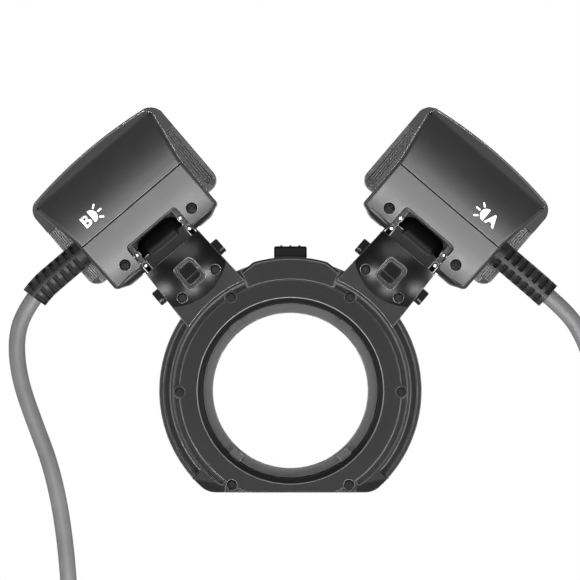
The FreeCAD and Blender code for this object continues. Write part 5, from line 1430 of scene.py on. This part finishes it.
@dataclass
class FlashHead:
    """One tilting flash head."""

    side: Side
    letter: str
    letter_box: tuple[float, float, float, float]
    lamp_centre: tuple[float, float]
    lamp_radius: float = 2.49
    lamp_steps: int = 20
    ray_angles: tuple[float, ...] = (-38.0, 0.0, 38.0)
    ray_gap: float = 0.75
    ray_length: float = 1.55
    ray_half: float = 0.32
    ray_tip: float = 0.16
    rear_arc: tuple[tuple[float, float], ...] = ((-20.0, 67.0), (-26.3, 90.0), (-21.2, 113.3))
    screw_t: float = 16.3
    screw_r: float = 75.8
    screw_sink: float = 1.1
    screw: ScrewSize = ScrewSize(1.9, 1.1, 0.7, 14.0)
    hinge_r: float = 73.5
    stud_t: float = 10.75
    stud_gap: float = 2.6
    stud_y: float = -10.9
    stud_radius: float = 0.72
    window_half: float = 27.3
    window_low: float = 87.0
    window_high: float = 113.4
    window_rear_y: float = 28.4
    rib_pitch: float = 1.25
    rib_share: float = 0.46
    rib_depth: float = 0.35
    rib_steps: int = 6
    rib_end_gap: float = 2.1
    rib_side_gap: float = 2.3
    tube_y: float = 16.75
    tube_r: float = 100.2
    tube_radius: float = 2.0
    tube_half: float = 23.6
    board_y: float = -12.4
    board_low: float = 94.5
    board_high: float = 110.5
    part_size: Place = (2.2, 1.4, 1.5)
    part_columns: int = 10
    part_rows: int = 4
    part_start: tuple[float, float] = (-18.0, 2.4)
    part_pitch: tuple[float, float] = (4.0, 3.7)
    post_t: float = 17.5
    post_room: float = 2.6
    coil_room: float = 10.5
    coil_radius: float = 4.2
    coil_half: float = 6.8
    coil_lift: float = 5.0
    ink: float = 0.06
    ink_proud: float = 0.035
    ink_steps: int = 8
    screw_seed: int = 31
    stud_seed: int = 2
    parts_seed: int = 5

    def build(self) -> None:
        """Makes and dresses the head's pieces."""
        finished_copies(self.side.node(""), {
            "rear_shell": (Slot.HEAD, 0.3, 1.0), "lower_cover": (Slot.HEAD, 0.3, 1.0),
            "front_case": (Slot.HEAD, 0.4), "hinge_saddle": (Slot.SADDLE, 0.2),
            "cord_relief": (Slot.RELIEF, 0.14), "reflector": (Slot.REFLECTOR, 0.08),
            "flash_tube": (Slot.TUBE, 0.1), "focus_lamp": (Slot.LAMP, 0.1),
            "circuit_board": (Slot.BOARD, 0.06), "trigger_coil": (Slot.FRAME, 0.1),
            "front_window": (Slot.WINDOW, 0.2),
        })
        seat_y = self.rear_y(self.screw_r) + self.screw_sink
        places = tuple(Vector((sign * self.screw_t, seat_y, self.screw_r)) for sign in (-1, 1))
        seed = self.screw_seed + self.side.value
        self.screw.build(self.side.node("case_screws"), places, self.side.matrix, seed)
        self.make_studs()
        self.make_window_ribs()
        self.make_windings()
        self.make_board_parts()
        self.print_mark("letter", self.letter_form())
        self.print_mark("lamp_sign", self.lamp_form())

    def add(self, pattern: Pattern, part: str, slot: Slot | None, place: Matrix = Matrix(),
            **values: object) -> None:
        """Makes a piece that a pattern repeats at a place in the head's frame, riding on the head."""
        node = self.side.node
        pattern.make(node(part), node("rear_shell"), slot, self.side.matrix @ place, **values)

    def rear_y(self, radius: float) -> float:
        """Where the rear face, an arc through three points, lies at a distance from the lens axis.

        Args:
            radius: the distance.

        Returns:
            The face's y.
        """
        (ay, ar), (by, br), (cy, cr) = self.rear_arc
        d = 2 * (ay * (br - cr) + by * (cr - ar) + cy * (ar - br))
        a, b, c = ay * ay + ar * ar, by * by + br * br, cy * cy + cr * cr
        y = (a * (br - cr) + b * (cr - ar) + c * (ar - br)) / d
        r = (a * (cy - by) + b * (ay - cy) + c * (by - ay)) / d
        return y - math.sqrt((ay - y) ** 2 + (ar - r) ** 2 - (radius - r) ** 2)

    def make_studs(self) -> None:
        """Makes the bright caps on the saddle's four rivets."""
        r = self.stud_radius
        outline = [(0.0, 0.06), (r, 0.06), (r, -0.04), (r * 0.9, -0.13), (r * 0.66, -0.21), (r * 0.34, -0.25),
                   (0.0, -0.26)]
        places = tuple(Vector((t, self.stud_y, self.hinge_r + gap)) for t in (-self.stud_t, self.stud_t)
                       for gap in (-self.stud_gap, self.stud_gap))
        with template(lathe(outline, 24, TO_LENS), angle=60.0) as shape:
            self.add(seats(), "saddle_studs", None, places=places, Shape=shape, Seed=self.stud_seed,
                     Material=PALETTE.extra("stud_bright", BRIGHT_STEEL))

    def make_window_ribs(self) -> None:
        """Makes the window's light-spreading ribs on its inner face."""
        height = self.window_high - self.window_low - 2 * self.rib_end_gap
        half = self.rib_pitch * self.rib_share
        steps = self.rib_steps
        turns = [math.pi * n / steps for n in range(steps + 1)]
        form = bmesh.new()
        low, high = ([form.verts.new((half * math.cos(a), -self.rib_depth * math.sin(a), z)) for a in turns]
                     for z in (-height / 2, height / 2))
        for n in range(steps):
            form.faces.new((low[n], low[n + 1], high[n + 1], high[n]))
        for corners in (low, high[::-1], (low[0], high[0], high[steps], low[steps])):
            form.faces.new(corners)
        place = Matrix.Translation((0.0, self.window_rear_y - 0.01, (self.window_high + self.window_low) / 2))
        count = int(2 * (self.window_half - self.rib_side_gap) / self.rib_pitch)
        with template(form) as shape:
            self.add(straight_row(), "window_ribs", Slot.WINDOW, place, Shape=shape, Count=count,
                     Pitch=self.rib_pitch)

    def make_windings(self) -> None:
        """Makes the trigger coil's copper winding and the trigger wire on the flash tube."""
        coil = (-self.coil_half, self.board_y + self.coil_lift, (self.board_low + self.board_high) / 2)
        tube = (3.0 - self.tube_half, self.tube_y, self.tube_r)
        for part, slot, start, radius, wire, turns, steps in (
                ("coil_winding", Slot.COIL, coil, self.coil_radius + 0.16, 0.19, 34.0, 22),
                ("trigger_wire", Slot.HOOK, tube, self.tube_radius + 0.14, 0.12, 9.0, 24)):
            self.add(winding(), part, slot, Matrix.Translation(start) @ Matrix.Rotation(math.pi / 2, 4, "Y"),
                     Turns=turns, Radius=radius, Height=-2 * start[0], Wire=wire, Steps=steps)

    def make_board_parts(self) -> None:
        """Makes the small parts on the circuit board, clear of the coil and the posts."""
        places = []
        for column in range(self.part_columns):
            t = self.part_start[0] + column * self.part_pitch[0]
            if abs(abs(t) - self.post_t) < self.post_room:
                continue
            # Over the coil, only the first and the last row have room.
            step = self.part_rows - 1 if abs(t) <= self.coil_room else 1
            for row in range(0, self.part_rows, step):
                r = self.board_low + self.part_start[1] + row * self.part_pitch[1]
                places.append(Vector((t, self.board_y + 0.05, r)))
        with template(bar(self.part_size, (0.0, self.part_size[1] / 2, 0.0), 0.12)) as shape:
            self.add(board_field(), "board_parts", Slot.FRAME, places=tuple(places), Shape=shape,
                     Seed=self.parts_seed + self.side.value)

    def print_mark(self, part: str, form: Form) -> None:
        """Lays a flat form, drawn in (t, 0, r), on the curved rear face as ink.

        Args:
            part: the piece's name after the side's.
            form: the flat form.
        """
        low, high = (limit(v.co.z for v in form.verts) for limit in (min, max))
        for n in range(1, self.ink_steps):
            level = (0.0, 0.0, low + (high - low) * n / self.ink_steps)
            geometry = form.verts[:] + form.edges[:] + form.faces[:]
            bmesh.ops.bisect_plane(form, geom=geometry, plane_co=level, plane_no=(0.0, 0.0, 1.0))
        for vertex in form.verts:
            vertex.co.y = self.rear_y(vertex.co.z) - self.ink_proud
        grown = bmesh.ops.extrude_face_region(form, geom=form.faces[:])["geom"]
        inner = [v for v in grown if isinstance(v, bmesh.types.BMVert)]
        bmesh.ops.translate(form, vec=(0.0, self.ink, 0.0), verts=inner)
        # The extrusion adds its side faces in an order that changes from run to run.
        form.faces.sort(key=lambda face: face.calc_center_median().dot(FACE_ORDER))
        ink = PALETTE.extra("white_ink", PrintedInk())
        piece = formed(self.side.node(part), form, self.side.matrix, ink)
        seated(piece, self.side.node("rear_shell"), False)

    def letter_form(self) -> Form:
        """The plain letter, filled to its place on the face.

        Returns:
            The form.
        """
        curve = bpy.data.curves.new("letter", "FONT")
        curve.body = self.letter
        curve.offset = 0.028
        curve.resolution_u = 6
        item = new_object("letter", curve)
        graph = bpy.context.evaluated_depsgraph_get()
        form = bmesh.new()
        form.from_mesh(bpy.data.meshes.new_from_object(item.evaluated_get(graph)))
        bpy.data.objects.remove(item)
        bmesh.ops.remove_doubles(form, verts=form.verts, dist=0.0001)
        limits = (limit(v.co[axis] for v in form.verts) for axis in (0, 1) for limit in (min, max))
        low_x, high_x, low_y, high_y = limits
        t_low, t_high, r_low, r_high = self.letter_box
        for vertex in form.verts:
            x = (vertex.co.x - low_x) / (high_x - low_x)
            y = (vertex.co.y - low_y) / (high_y - low_y)
            vertex.co = (t_low + x * (t_high - t_low), 0.0, r_low + y * (r_high - r_low))
        return form

    def lamp_form(self) -> Form:
        """A plain half disc with three short rays.

        Returns:
            The form.
        """
        form = bmesh.new()
        toward = -self.side.value
        t, r = self.lamp_centre
        turns = [math.pi * (n / self.lamp_steps - 0.5) for n in range(self.lamp_steps + 1)]
        form.faces.new([form.verts.new((t + toward * self.lamp_radius * math.cos(a), 0.0,
                                        r + self.lamp_radius * math.sin(a))) for a in turns])
        for a in map(math.radians, self.ray_angles):
            along = Vector((toward * math.cos(a), 0.0, math.sin(a)))
            across = Vector((-along.z, 0.0, along.x)) * self.ray_half
            start = Vector((t, 0.0, r)) + along * (self.lamp_radius + self.ray_gap)
            stop, tip, nib = start + along * self.ray_length, along * self.ray_tip, across * 0.5
            ray = (start - across, stop - across, stop + tip - nib, stop + tip + nib, stop + across,
                   start + across, start - tip + nib, start - tip - nib)
            form.faces.new([form.verts.new(place) for place in ray])
        return form


HEADS = (
    FlashHead(Side.LEFT, "B", (-18.2, -14.95, 95.3, 99.8), (-14.3, 97.6)),
    FlashHead(Side.RIGHT, "A", (13.6, 18.0, 94.95, 99.55), (13.05, 97.25)),
)


def main() -> None:
    """Builds the studio, the cords, the ring, the holders and the heads, in that order."""
    logging.basicConfig(level=logging.INFO, format="%(message)s")
    for unit in (Studio(), *CORDS, RingUnit(), *(Holder(side) for side in Side), *HEADS):
        unit.build()


if __name__ == "__main__":
    main()
